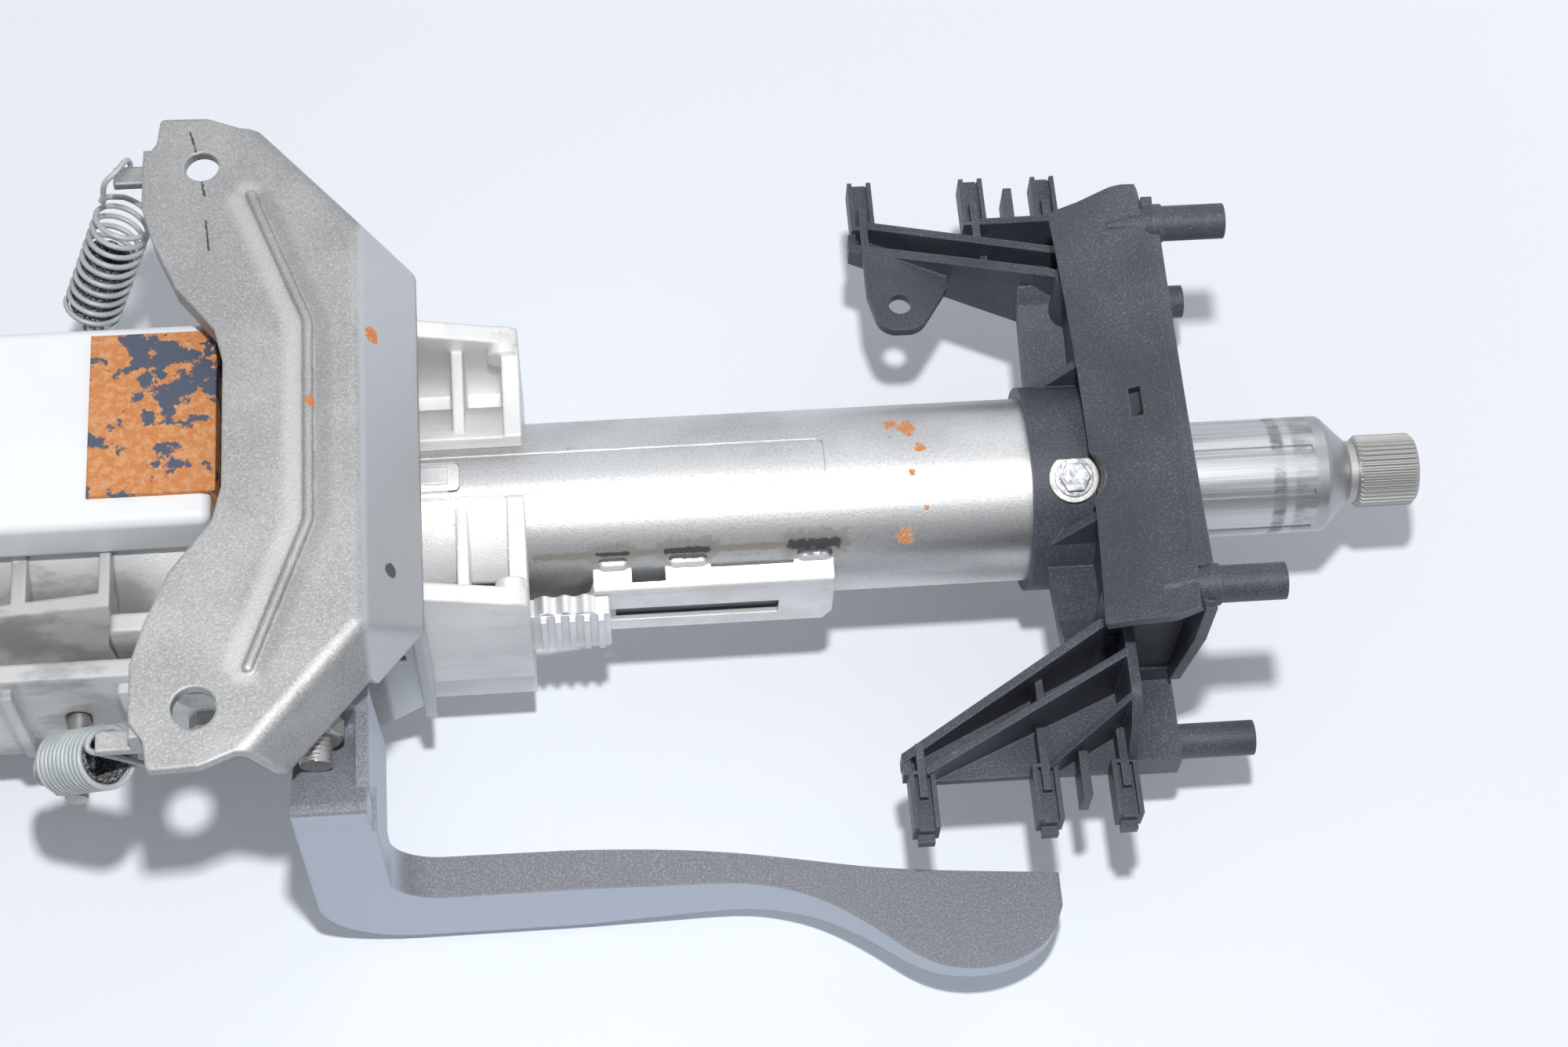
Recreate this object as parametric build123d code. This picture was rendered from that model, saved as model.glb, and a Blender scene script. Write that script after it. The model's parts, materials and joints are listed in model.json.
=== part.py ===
# Steering column with tilt and reach adjustment, in millimetres.
# +X runs along the column to the steering wheel and +Z up to the dashboard bracket.
# The origin is the centre of the outer end of the wheel spline.
import os
from math import atan2, cos, degrees, hypot, pi, radians, sin, sqrt, tan

from build123d import *

# Clearances
running_gap = 0.05      # radial, a shaft in its hole
moving_gap = 0.4        # between faces of bodies that move
hole_gap = 0.3          # radial, a bolt in a plain hole

# Travel
reach_in = 36.0         # wheel pushed towards the dashboard
reach_out = 4.0         # wheel pulled out
tilt_down = 4.0         # degrees
tilt_up = 0.8           # degrees
clamp_lift = 0.8        # travel of the pressure plate when the lever opens

# Steering spindle
spline_radius = 10.0
spline_depth = 0.7
spline_teeth = 40
spline_length = 17.0
spline_chamfer = 1.2
neck_radius = 8.6
neck_length = 2.0
cone_length = 8.0
spindle_radius = 16.0
spindle_shoulder = 1.0
spindle_end_x = -215.0
spindle_groove_width = 1.4
spindle_groove_depth = 0.5
spindle_grooves = 8
wheel_bolt_radius = 6.0
wheel_bolt_depth = 30.0

# Lower shaft, which telescopes in the spindle
shaft_radius = 10.7
shaft_flat = 8.6
shaft_seat_radius = 10.0
shaft_tip_radius = 8.5
shaft_tip_length = 28.0
shaft_overlap_x = -130.0
shaft_reach = 53.0        # from the tilt pivot to the tip

# Jacket tube
jacket_radius = 25.0
jacket_wall = 2.5
jacket_end_x = -88.0
jacket_front_x = -370.0
track_width = 12.0
track_depth = 0.3
track_end_x = -165.0
slot_width = 8.7
slot_end_x = -262.0
slot_front_x = -346.0

# Bearings
bearing_x = -97.5
bearing_width = 11.0
race_wall = 2.2
ball_radius = 1.6
ball_count = 10
cup_radius = 16.0
cup_width = 12.0
needle_radius = 1.5
needle_count = 12
clip_thickness = 1.2
clip_seat = 0.8
clip_height = 2.4

# Tilt pivot and clamp bolt
pivot_x = -425.0
shaft_front_x = pivot_x - shaft_reach
pivot_radius = 5.0
pivot_head_radius = 9.0
pivot_head = 6.0
bolt_x = -299.0
bolt_z = 33.5
bolt_radius = 4.0
bolt_head_radius = 7.5
bolt_head = 5.0
nut_across = 13.0
nut_height = 6.0
washer_radius = 8.0
washer_thickness = 1.3

# Tilt housing casting
housing_end_x = -245.0
housing_half = 41.6
housing_waist_x = -352.0
housing_front_x = -440.0
housing_bottom_z = -32.0
housing_step_z = -14.0
housing_step = 3.6
bore_wall = 5.0
slit_half = 8.8
side_wall = 5.1
end_wall = 4.6
rail_end_z = 30.0
rail_ridge_x = -271.0
rail_ridge_z = 36.4
lug_radius = 11.5
pocket_floor_z = 4.0
casting_rib = 3.0

# Module box on the housing, and the steel strap over it
deck_z = 29.0
deck_half = 15.0
box_near_y = -19.0
box_far_y = housing_half - 1.6
box_front_x = -400.0
box_end_x = -324.5
box_height = 15.0
box_corner = 3.0
strap_near_y = -11.5
strap_far_y = box_far_y - 4.0
strap_front_x = -355.5
strap_thickness = 1.5

# Dashboard bracket
bracket_top_z = 59.5
bracket_sheet = 3.0
bracket_lower_z = 41.0
bolt_clear = 3.0
bolt_clear_y = 66.0
ridge_x = -285.0
flange_run = 14.0
ridge_half = 59.0
diagonal_run = 6.5
wing_x = -313.0
wing_y = 91.6
wing_end_y = wing_y + 1.8
bracket_front_edge = ((-24.4, -5.6), (-27.9, -10.6), (-28.0, -25.6), (-24.6, -37.1), (-18.8, -50.6),
                      (-8.6, -64.1), (-6.4, -73.6))      # from the wing corner
ridge_fillet = 5.0
rim_drop = 7.0
bead_radius = 1.5
bolt_hole_x = wing_x - 12.4
bolt_hole_y = wing_y - 13.5
far_hole_radius = 4.5
near_hole_radius = 5.5
lug_x = wing_x - 33.5
lug_y = wing_y - 9.6
lug_root_x = wing_x - 25.5
lug_riser = 2.5
lug_z = 50.2
lug_width = 5.4
lug_thickness = 2.5

# Cheeks under the bracket
cheek_sheet = 3.0
cheek_outer = housing_half + moving_gap + cheek_sheet
cheek_front_x = -345.0
cheek_neck_x = -327.0
cheek_end_x = -272.0
cheek_bottom_z = -40.0
cheek_lip = 5.0
cheek_corner = 22.0

# Fixed console in front of the bracket
console_wall = 5.0
console_end_x = -318.0
console_front_x = -446.0
console_top_z = 19.0
console_bottom_z = -27.0
console_foot_width = 16.0
console_rib_x = (-350.0, -380.0, -398.0)
console_bolt_radius = 3.0
console_bolt_x = -332.0
console_bolt_z = 10.0
console_bolt_head = 5.0
console_bolt_head_height = 4.0

# Clamp lever
lever_outer_y = -98.0
lever_arm_thickness = 11.5
lever_hub_y = -cheek_outer - 17.0
lever_hub_plate = 7.0
bolt_tip_y = lever_hub_y - 22.0
lever_left_x = -305.3
lever_right_x = -285.0
lever_bottom_z = -56.0
lever_arm_top_z = -28.0
lever_ledge_z = 23.0
lever_front_z = 35.0
lever_rim = 3.3
lever_wall = 4.0
elbow_outer_radius = 26.0
elbow_inner_radius = 14.0
arm_top_edge = ((-107.3, -31.0), (-181.0, -31.0), (-236.0, -28.0))
arm_bottom_edge = ((-236.0, -56.0), (-181.0, -49.0), (-158.0, -42.5), (-136.0, -38.0), (-107.3, -37.5))
arm_edge_radii = (60.0, 50.0, 30.0, 30.0, 1.2, 1.2, 100.0, 60.0)
pad_edge = ((-205.0, -98.0), (-188.0, -98.9), (-175.0, -102.6), (-164.0, -108.7), (-155.7, -114.9),
            (-147.9, -120.9), (-141.0, -124.3), (-132.0, -125.8), (-123.2, -124.7), (-115.8, -121.5),
            (-110.6, -116.5), (-107.8, -110.5), (-107.3, -106.0))
arm_inner_edge = ((-107.3, -100.4), (-135.0, -98.2), (-160.0, -95.3), (-181.0, -91.5), (-203.0, -88.6),
                  (-223.0, -87.3), (-250.0, -86.7), (-270.0, -86.5))
cam_radius = 13.0
cam_plate = 3.5
cam_lobes = 3
cam_lobe_degrees = 24.0

# Reach strap on the tube, and the stop block that runs in its slot
block_front_x = housing_end_x - 12.0
block_end_x = housing_end_x + 21.0
reach_slot_front_x = block_end_x - 10.0
reach_slot_end_x = reach_slot_front_x + 55.5
reach_strap_front_x = reach_slot_front_x - 5.0
reach_strap_end_x = reach_slot_end_x + 14.7
reach_strap_y = -jacket_radius - 2.5
reach_strap_sheet = 1.5
reach_strap_bottom_z = -13.8
reach_slot_z = -4.8
reach_slot_height = 7.0
strap_fold_z = 8.2
strap_fold_radius = 2.5
strap_flange_degrees = 20.0
flange_start_x = reach_strap_front_x + 11.0
flange_notches = ((-54.0, -45.0, 1.1), (-32.8, -10.6, 3.9))    # from the strap's end, and from its face
strap_corner = 4.8
weld_spans = ((-62.9, -54.8), (-44.2, -33.6), (-9.8, -0.2))
weld_degrees = 62.0
weld_radius = 1.7
block_thickness = 5.1
block_bottom_z = -12.0
block_top_z = 8.0
block_corner = 0.8
block_ribs = 5
block_rib_height = 1.6
leaf_wave = 1.3
leaf_sheet = 0.8

# Moulded trim carrier
collar_front_x = -110.0
collar_end_x = -90.0
collar_wall = 3.0
carrier_wall = 3.0
visor_front_x = -94.5
visor_end_x = -71.7
visor_half = 62.0
visor_low_z = 31.0
visor_high_z = 41.0
visor_rise = 9.5
arm_tip_x = -150.3
arm_tip_inner = 77.7
arm_root_inner = 51.0
arm_root_x = -92.0
arm_outer = 84.5
arm_floor_z = -3.0
arm_tip_z = 3.5
arm_root_z = 25.5
floor_sheet = 2.5
arm_rails = (((-150.3, 77.7, 3.2), (-98.0, 52.6, 25.5), 2.8),
             ((-98.2, 52.7, 25.5), (-90.5, 50.0, 25.5), 2.6),
             ((-144.5, 83.0, 6.5), (-91.0, 60.0, 24.0), 2.3),
             ((-112.5, 83.4, 5.5), (-91.0, 72.0, 23.5), 2.0))      # start, end, thickness
cross_rib = (-114.3, -112.3, 61.0, 69.0, 11.5)
posts = ((-145.7, 76.0, 99.5), (-113.4, 73.5, 99.2), (-92.5, 74.7, 98.9))
post_z = 1.5
post_width = 6.8
post_height = 8.0
post_rib = 2.2
post_rib_end = 91.0
tongue = 2.2
column_x = -93.1
column_y = 49.1
column_radius = 4.3
column_top_z = 31.4
web_front_x = -106.0
fin_x = -103.4
fin_tip = 94.0
pin_radius = 4.8
pin_root_radius = 5.4
pin_root_length = 1.6
pin_cone = 13.0
upper_pin_tip_x = -53.1
upper_pin_y = 54.4
upper_pin_z = 46.5
lower_pin_tip_x = -51.9
lower_pin_y = 69.5
lower_pin_z = -19.5
pin_block_x = -72.8
pin_block = (-89.0, 50.0, 76.4, -24.5, -14.5)
tab_x = -138.0
tab_y = 56.6
tab_z = 8.0
tab_hole_radius = 3.2
screw_degrees = 23.0
screw_x = -99.3
screw_radius = 2.5
screw_head_radius = 4.2
clip_radius = 6.6
clip_sheet = 1.0

# Balance springs
spring_radius = 8.2
wire_radius = 0.75
spring_loop_radius = 5.0
peg_x = -365.0
peg_y = 69.0
peg_z = -6.0
peg_radius = 3.0
peg_groove_radius = 2.0
sleeve_wall = 1.0


def slab(x0, x1, y0, y1, z0, z1):
    return Pos((x0 + x1) / 2, (y0 + y1) / 2, (z0 + z1) / 2) * Box(x1 - x0, y1 - y0, z1 - z0)


def rod_x(x0, x1, y, z, radius):
    return Pos((x0 + x1) / 2, y, z) * Rot(0, 90, 0) * Cylinder(radius, x1 - x0)


def rod_y(y0, y1, x, z, radius):
    return Pos(x, (y0 + y1) / 2, z) * Rot(90, 0, 0) * Cylinder(radius, y1 - y0)


def rod_z(z0, z1, x, y, radius):
    return Pos(x, y, (z0 + z1) / 2) * Cylinder(radius, z1 - z0)


def outline(points, radius=0.0):
    return make_face(FilletPolyline(*points, radius=radius, close=True))


def plate_xy(points, z0, z1, radius=0.0):
    return extrude(Pos(0, 0, z0) * outline(points, radius), z1 - z0)


def plate_xz(points, y0, y1, radius=0.0):
    return extrude(Plane.XZ.offset(-y1) * outline(points, radius), y1 - y0)


def plate_yz(points, x0, x1, radius=0.0):
    return extrude(Plane.YZ.offset(x0) * outline(points, radius), x1 - x0)


def turned(points):
    return revolve(Plane.XZ * make_face(Polyline(*points, close=True)), Axis.X)


def mirrored(shape):
    return mirror(shape, Plane.XZ)


def both(shape):
    return shape + mirrored(shape)


def section_x(points, x):
    return Plane.YZ.offset(x) * make_face(Polyline(*points, close=True))


# Steering spindle

shoulder_x = -spline_length - neck_length
cone_x = shoulder_x - cone_length
bearing_front_x = bearing_x - bearing_width / 2
bearing_end_x = bearing_x + bearing_width / 2
telescope_radius = shaft_radius + moving_gap
telescope_flat = shaft_flat + moving_gap
telescope_end_x = shaft_overlap_x + reach_in + 4


def serrated(radius, depth, teeth, x0, x1):
    pitch = 2 * pi / teeth
    points = []
    for tooth in range(teeth):
        for share in (-0.34, -0.12, 0.12, 0.34):
            level = radius if abs(share) < 0.2 else radius - depth
            angle = (tooth + share) * pitch
            points.append((level * cos(angle), level * sin(angle)))
    return extrude(Plane.YZ.offset(x0) * make_face(Polyline(*points, close=True)), x1 - x0)


def chamfered_bar(radius, chamfer_size, x0, x1):
    return turned([(x0, 0), (x0, radius - chamfer_size), (x0 + chamfer_size, radius),
                   (x1 - chamfer_size, radius), (x1, radius - chamfer_size), (x1, 0)])


def steering_spindle():
    body = turned([(shoulder_x + 0.5, 0), (shoulder_x + 0.5, neck_radius), (shoulder_x, neck_radius),
                   (cone_x + 1, spindle_radius - 0.6), (cone_x, spindle_radius),
                   (bearing_front_x, spindle_radius),
                   (bearing_front_x, spindle_radius + spindle_shoulder),
                   (spindle_end_x, spindle_radius + spindle_shoulder), (spindle_end_x, 0)])
    spline = serrated(spline_radius, spline_depth, spline_teeth, -spline_length, 0)
    spline = spline & chamfered_bar(spline_radius, spline_chamfer, -spline_length, 0)
    neck = rod_x(shoulder_x, -spline_length, 0, 0, neck_radius)
    body = body + neck + spline
    for index in range(spindle_grooves):
        groove = slab(bearing_end_x + 22, cone_x - 4, -spindle_groove_width / 2, spindle_groove_width / 2,
                      spindle_radius - spindle_groove_depth, spindle_radius + 1)
        body -= Rot(360 / spindle_grooves * index, 0, 0) * groove
    telescope = rod_x(spindle_end_x, telescope_end_x, 0, 0, telescope_radius)
    telescope &= slab(spindle_end_x, telescope_end_x, -telescope_flat, telescope_flat,
                      -telescope_radius, telescope_radius)
    body -= telescope
    body -= rod_x(-wheel_bolt_depth, 0, 0, 0, wheel_bolt_radius)
    return body - clip_ring(spindle_radius - clip_seat, spindle_radius + 1)


def clip_ring(inner, outer):
    ring = rod_x(bearing_end_x, bearing_end_x + clip_thickness, 0, 0, outer)
    return ring - rod_x(bearing_end_x, bearing_end_x + clip_thickness, 0, 0, inner)


def open_ring(ring, inner, outer, width):
    return ring - slab(bearing_end_x - 1, bearing_end_x + 2, -width / 2, width / 2, inner - 1, outer + 1)


# Lower shaft

cup_front_x = pivot_x - cup_width / 2
cup_end_x = pivot_x + cup_width / 2
tip_x = shaft_front_x + shaft_tip_length
needle_pitch = shaft_seat_radius + running_gap + needle_radius


def lower_shaft():
    bar = rod_x(cup_end_x + 1, shaft_overlap_x, 0, 0, shaft_radius)
    bar &= slab(cup_end_x + 1, shaft_overlap_x, -shaft_flat, shaft_flat, -shaft_radius, shaft_radius)
    collar = rod_x(cup_end_x + 1, cup_end_x + 8, 0, 0, shaft_radius)
    seat = rod_x(tip_x, cup_end_x + 1, 0, 0, shaft_seat_radius)
    tip = serrated(shaft_tip_radius, spline_depth, spline_teeth - 4, shaft_front_x, tip_x)
    tip &= chamfered_bar(shaft_tip_radius, spline_chamfer, shaft_front_x, tip_x + 3)
    pinch = rod_z(-shaft_tip_radius, shaft_tip_radius, shaft_front_x + shaft_tip_length / 2,
                  shaft_tip_radius + 2, 4)
    groove = turned([(cup_front_x - clip_thickness, shaft_seat_radius - clip_seat),
                     (cup_front_x - clip_thickness, shaft_seat_radius + 1),
                     (cup_front_x, shaft_seat_radius + 1), (cup_front_x, shaft_seat_radius - clip_seat)])
    return bar + collar + seat + tip - pinch - groove


def lower_clip():
    ring = turned([(cup_front_x - clip_thickness, shaft_seat_radius - clip_seat),
                   (cup_front_x - clip_thickness, shaft_seat_radius + clip_height),
                   (cup_front_x, shaft_seat_radius + clip_height),
                   (cup_front_x, shaft_seat_radius - clip_seat)])
    return ring - slab(cup_front_x - 2, cup_front_x + 1, -2, 2, 0, shaft_seat_radius + clip_height + 1)


def lower_bearing_cup():
    inner = shaft_seat_radius + 2 * needle_radius + 2 * running_gap
    cup = rod_x(cup_front_x, cup_end_x, 0, 0, cup_radius)
    return cup - rod_x(cup_front_x, cup_end_x, 0, 0, inner)


def lower_needles():
    needle = rod_x(cup_front_x + 1, cup_end_x - 1, 0, needle_pitch, needle_radius)
    return Compound([Rot(360 / needle_count * index, 0, 0) * needle for index in range(needle_count)])


# Upper bearing in the jacket tube

jacket_inner = jacket_radius - jacket_wall
ball_pitch = (spindle_radius + jacket_inner) / 2


def race(inner, outer):
    ring = rod_x(bearing_front_x, bearing_end_x, 0, 0, outer)
    ring -= rod_x(bearing_front_x, bearing_end_x, 0, 0, inner)
    track = Pos(bearing_x, 0, 0) * Rot(0, 90, 0) * Torus(ball_pitch, ball_radius + 0.12)
    return ring - track


def upper_inner_race():
    return race(spindle_radius, spindle_radius + race_wall)


def upper_outer_race():
    return race(jacket_inner - race_wall, jacket_inner)


def upper_balls():
    ball = Pos(bearing_x, 0, ball_pitch) * Sphere(ball_radius)
    return Compound([Rot(360 / ball_count * index, 0, 0) * ball for index in range(ball_count)])


def spindle_clip():
    inner, outer = spindle_radius - clip_seat, spindle_radius + clip_height
    return open_ring(clip_ring(inner, outer), inner, outer, 5)


def jacket_clip():
    inner, outer = jacket_inner - clip_height, jacket_inner + clip_seat
    return open_ring(clip_ring(inner, outer), inner, outer, 5)


# Jacket tube and what is fixed to it

def jacket_tube():
    tube = rod_x(jacket_front_x, jacket_end_x, 0, 0, jacket_radius)
    tube -= rod_x(jacket_front_x, jacket_end_x, 0, 0, jacket_inner)
    tube -= plate_xy([(slot_front_x, -slot_width / 2), (slot_end_x, -slot_width / 2),
                      (slot_end_x, slot_width / 2), (slot_front_x, slot_width / 2)],
                     jacket_inner - 2, jacket_radius + 2, 1.5)
    track = plate_xy([(slot_end_x - 12, -track_width / 2), (track_end_x, -track_width / 2),
                      (track_end_x, track_width / 2), (slot_end_x - 12, track_width / 2)],
                     jacket_radius - 4, jacket_radius + 2, 2.0)
    track -= rod_x(jacket_front_x, jacket_end_x, 0, 0, jacket_radius - track_depth)
    return tube - track - clip_ring(jacket_inner - 1, jacket_inner + clip_seat)


def slot_insert():
    width = slot_width - 2 * hole_gap
    end = slot_end_x
    body = plate_xy([(end - 14, -width / 2), (end, -width / 2), (end, width / 2), (end - 14, width / 2)],
                    jacket_inner - 1.2, jacket_radius, 1.5)
    body &= rod_x(end - 14, end, 0, 0, jacket_radius)
    head = slab(end - 14, end - 3, -width / 2 + 1.6, width / 2 - 1.6, jacket_radius - 0.6,
                jacket_radius + 0.8)
    side = slab(end - 14, end - 3, width / 2, slot_width / 2, jacket_inner, jacket_radius - 1)
    return body + head + both(side)


strap_outer_y = reach_strap_y - reach_strap_sheet
weld_y = -jacket_radius * sin(radians(weld_degrees))
weld_z = jacket_radius * cos(radians(weld_degrees))


def strap_profile():
    slope = radians(strap_flange_degrees)
    along = -strap_outer_y * cos(slope) - strap_fold_z * sin(slope)
    run = along - sqrt(along ** 2 - strap_outer_y ** 2 - strap_fold_z ** 2 + jacket_radius ** 2)
    tip_y, tip_z = strap_outer_y + run * cos(slope), strap_fold_z + run * sin(slope)
    in_y, in_z = reach_strap_sheet * sin(slope), -reach_strap_sheet * cos(slope)
    fold_in_z = strap_fold_z - reach_strap_sheet * tan(radians(45) - slope / 2)
    return [(strap_outer_y, reach_strap_bottom_z), (strap_outer_y, strap_fold_z), (tip_y, tip_z),
            (tip_y + in_y, tip_z + in_z), (reach_strap_y, fold_in_z),
            (reach_strap_y, reach_strap_bottom_z)]


def reach_strap():
    strap = plate_yz(strap_profile(), reach_strap_front_x, reach_strap_end_x)
    folds = [edge for edge in strap.edges().filter_by(Axis.X)
             if edge.center().Y < strap_outer_y + 0.1 and edge.center().Z > 0]
    strap = fillet(folds, strap_fold_radius)
    front, end = reach_strap_front_x, reach_strap_end_x
    bottom, top = reach_strap_bottom_z, weld_z + weld_radius
    side = [(front, bottom), (front, 2), (flange_start_x - 5, 4), (flange_start_x, strap_fold_z),
            (flange_start_x, top), (end, top), (end, bottom + strap_corner),
            (end - strap_corner / 2, bottom)]
    strap &= plate_xz(side, strap_outer_y - 1, weld_y + weld_radius)
    for x0, x1, depth in flange_notches:
        strap -= slab(end + x0, end + x1, reach_strap_y + depth, weld_y + weld_radius, strap_fold_z - 3,
                      top)
    for x0, x1 in weld_spans:
        weld_ends = end + x0 + weld_radius, end + x1 - weld_radius
        strap += rod_x(*weld_ends, weld_y, weld_z, weld_radius)
        for x in weld_ends:
            strap += Pos(x, weld_y, weld_z) * Sphere(weld_radius)
    strap -= rod_x(reach_strap_front_x - 1, reach_strap_end_x + 1, 0, 0, jacket_radius)
    slot = plate_xz([(reach_slot_front_x, reach_slot_z - reach_slot_height / 2),
                     (reach_slot_end_x, reach_slot_z - reach_slot_height / 2),
                     (reach_slot_end_x, reach_slot_z + reach_slot_height / 2),
                     (reach_slot_front_x, reach_slot_z + reach_slot_height / 2)],
                    strap_outer_y - 1, reach_strap_y + 1, 0.4)
    return strap - slot


# Stop block and leaf, fixed in the end of the housing

block_inner_y = strap_outer_y - moving_gap
block_outer_y = block_inner_y - block_thickness


def stop_block():
    body = slab(block_front_x, block_end_x, block_outer_y, block_inner_y, block_bottom_z, block_top_z)
    body = fillet([edge for edge in body.edges() if edge.center().X > block_end_x - 0.1], block_corner)
    tongue_half = reach_slot_height / 2 - moving_gap
    tongue_front_x = reach_slot_front_x + reach_out + moving_gap
    body += slab(tongue_front_x, tongue_front_x + 3, block_inner_y, reach_strap_y + 0.2,
                 reach_slot_z - tongue_half, reach_slot_z + tongue_half)
    pitch = (block_end_x - housing_end_x - 2) / block_ribs
    for index in range(block_ribs):
        x = housing_end_x + 2.4 + pitch * index
        body += slab(x, x + pitch * 0.45, block_outer_y - block_rib_height, block_outer_y,
                     block_bottom_z + 2, block_top_z - block_corner)
    return body


def wavy_leaf():
    x0, x1 = housing_end_x + 1, block_end_x - 4
    count = 24
    lower = []
    upper = []
    for index in range(count + 1):
        share = index / count
        x = x0 + (x1 - x0) * share
        z = block_top_z + leaf_wave * (1 - cos(share * 6 * pi)) / 2
        lower.append((x, z))
        upper.append((x, z + leaf_sheet))
    ends = [Line(lower[-1], upper[-1]), Line(upper[0], lower[0])]
    face = make_face(Wire([Spline(*lower), ends[0], Spline(*upper), ends[1]]))
    return extrude(Plane.XZ.offset(-block_inner_y) * face, block_inner_y - block_outer_y)


# Tilt housing

bore_radius = jacket_radius + running_gap
slit_end_x = box_end_x - 1.5
saddle_radius = bore_radius + bore_wall
wall_inner = housing_half - side_wall


def housing_section(half, bottom, top_half, top):
    return [(-half + 4, bottom), (half - 4, bottom), (half, bottom + 8), (half, top - 20),
            (top_half, top), (-top_half, top), (-half, top - 20), (-half, bottom + 8)]


def side_profile():
    return [(housing_end_x, housing_step_z), (housing_end_x, rail_end_z),
            (rail_ridge_x, rail_ridge_z), (bolt_x + lug_radius + 4, bolt_z + lug_radius - 2),
            (bolt_x + 4, bolt_z + lug_radius), (bolt_x - 4, bolt_z + lug_radius),
            (bolt_x - lug_radius - 4, bolt_z + 4), (box_end_x + 2.5, deck_z - 1),
            (housing_waist_x, deck_z - 1), (housing_waist_x, housing_step_z)]


def tilt_housing():
    core = plate_yz([(-housing_half + housing_step, housing_bottom_z),
                     (housing_half - housing_step, housing_bottom_z),
                     (housing_half - housing_step, housing_step_z + 1),
                     (saddle_radius, housing_step_z + 1),
                     (saddle_radius, 0), (-saddle_radius, 0), (-saddle_radius, housing_step_z + 1),
                     (-housing_half + housing_step, housing_step_z + 1)],
                    housing_waist_x, housing_end_x)
    saddle = rod_x(housing_waist_x - 60, housing_end_x, 0, 0, saddle_radius)
    wall = plate_xz(side_profile(), wall_inner, housing_half, 2.0)
    end = plate_yz([(0, housing_step_z), (wall_inner + 1, housing_step_z),
                    (wall_inner + 1, rail_end_z - 1),
                    (0, rail_end_z - 1)], housing_end_x - end_wall, housing_end_x)
    floor = slab(housing_waist_x, housing_end_x, saddle_radius - 14, wall_inner + 1,
                 housing_step_z, pocket_floor_z)
    rib = slab(rail_ridge_x + 8, rail_ridge_x + 8 + casting_rib, slit_half, wall_inner + 1,
               pocket_floor_z - 1, rail_end_z - 2)
    boss = rod_y(wall_inner - 3, housing_half, housing_end_x - 4.2, rail_end_z - 2.8, 4.2)
    lug_tube = rod_y(slit_half, housing_half, bolt_x, bolt_z, lug_radius - 2.5)
    lug_plate = plate_xz([(bolt_x - lug_radius, 8), (bolt_x + lug_radius, 8),
                          (bolt_x + lug_radius, bolt_z + 4),
                          (bolt_x + 5, bolt_z + lug_radius), (bolt_x - 5, bolt_z + lug_radius),
                          (bolt_x - lug_radius, bolt_z + 4)], slit_half, slit_half + 7, 3.0)
    front = loft([section_x(housing_section(housing_half, housing_bottom_z, 34, 28), housing_waist_x),
                  section_x(housing_section(housing_half - 4, housing_bottom_z + 6, 32, 14),
                            housing_front_x)])
    deck = slab(box_front_x + 2, slit_end_x - 1.5, -deck_half, deck_half, 15, deck_z)
    ear = rod_y(30, cheek_outer - moving_gap, pivot_x, 0, 12)
    body = core + saddle + front
    for piece in (wall, end, floor, rib, boss, lug_tube, lug_plate, ear):
        body += both(piece)
    body += deck
    pockets = [(housing_waist_x - 44, housing_waist_x - 26), (housing_waist_x - 22, housing_waist_x - 3)]
    for x0, x1 in pockets:
        pocket = slab(x0, x1, deck_half + 1, 30, pocket_floor_z, deck_z + 5)
        body -= both(pocket - rod_x(x0, x1, 0, 0, saddle_radius - 1))
    body -= slab(housing_front_x, slit_end_x, -deck_half, deck_half, deck_z, deck_z + 5)
    body -= rod_x(cup_end_x + 3, housing_end_x, 0, 0, bore_radius)
    body -= rod_x(housing_front_x, cup_end_x + 3, 0, 0, cup_radius)
    body -= slab(slit_end_x, housing_end_x, -slit_half, slit_half, bore_radius - 8,
                 bolt_z + lug_radius + 1)
    body -= rod_y(-housing_half - 1, housing_half + 1, bolt_x, bolt_z, bolt_radius + running_gap)
    body -= both(rod_y(28, cheek_outer, pivot_x, 0, pivot_radius + running_gap))
    channel_front = reach_strap_front_x - reach_in - 3
    channel_bottom_z = min(block_bottom_z, reach_strap_bottom_z) - moving_gap
    body -= slab(channel_front, housing_end_x, block_outer_y, weld_y + weld_radius + moving_gap,
                 channel_bottom_z, weld_z + weld_radius + moving_gap)
    key = guide_key_size()
    body -= slab(key[0], key[1], key[2], key[3], bore_radius - 3, key[5] - 1.5)
    return body - both(rod_y(30, housing_half + 30, peg_x, peg_z, peg_radius))


def guide_key_size():
    x0 = slot_front_x + reach_out + 1
    half = slot_width / 2 - moving_gap
    return x0, x0 + 9, -half, half, jacket_inner + 0.5, deck_z


def guide_key():
    return slab(*guide_key_size()[:5], guide_key_size()[5] - 1.5)


def spring_peg():
    peg = rod_y(30, peg_y + 4, peg_x, peg_z, peg_radius)
    groove = rod_y(peg_y - 1.4, peg_y + 1.4, peg_x, peg_z, peg_radius)
    groove -= rod_y(peg_y - 1.4, peg_y + 1.4, peg_x, peg_z, peg_groove_radius)
    return peg - groove


# Module box and its strap

box_top_z = deck_z + box_height


def module_box():
    body = slab(box_front_x, box_end_x, box_near_y, box_far_y, deck_z, box_top_z)
    corners = body.edges().filter_by(Axis.Z) + body.edges().group_by(Axis.Z)[-1]
    return fillet(corners, box_corner)


def module_strap():
    end_x = box_end_x + moving_gap / 4 + strap_thickness
    points = [(strap_front_x, box_top_z), (strap_front_x, box_top_z + strap_thickness),
              (end_x, box_top_z + strap_thickness), (end_x, deck_z + strap_thickness),
              (end_x + 6, deck_z + strap_thickness), (end_x + 6, deck_z),
              (end_x - strap_thickness, deck_z), (end_x - strap_thickness, box_top_z)]
    return plate_xz(points, strap_near_y, strap_far_y)


# Dashboard bracket

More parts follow.
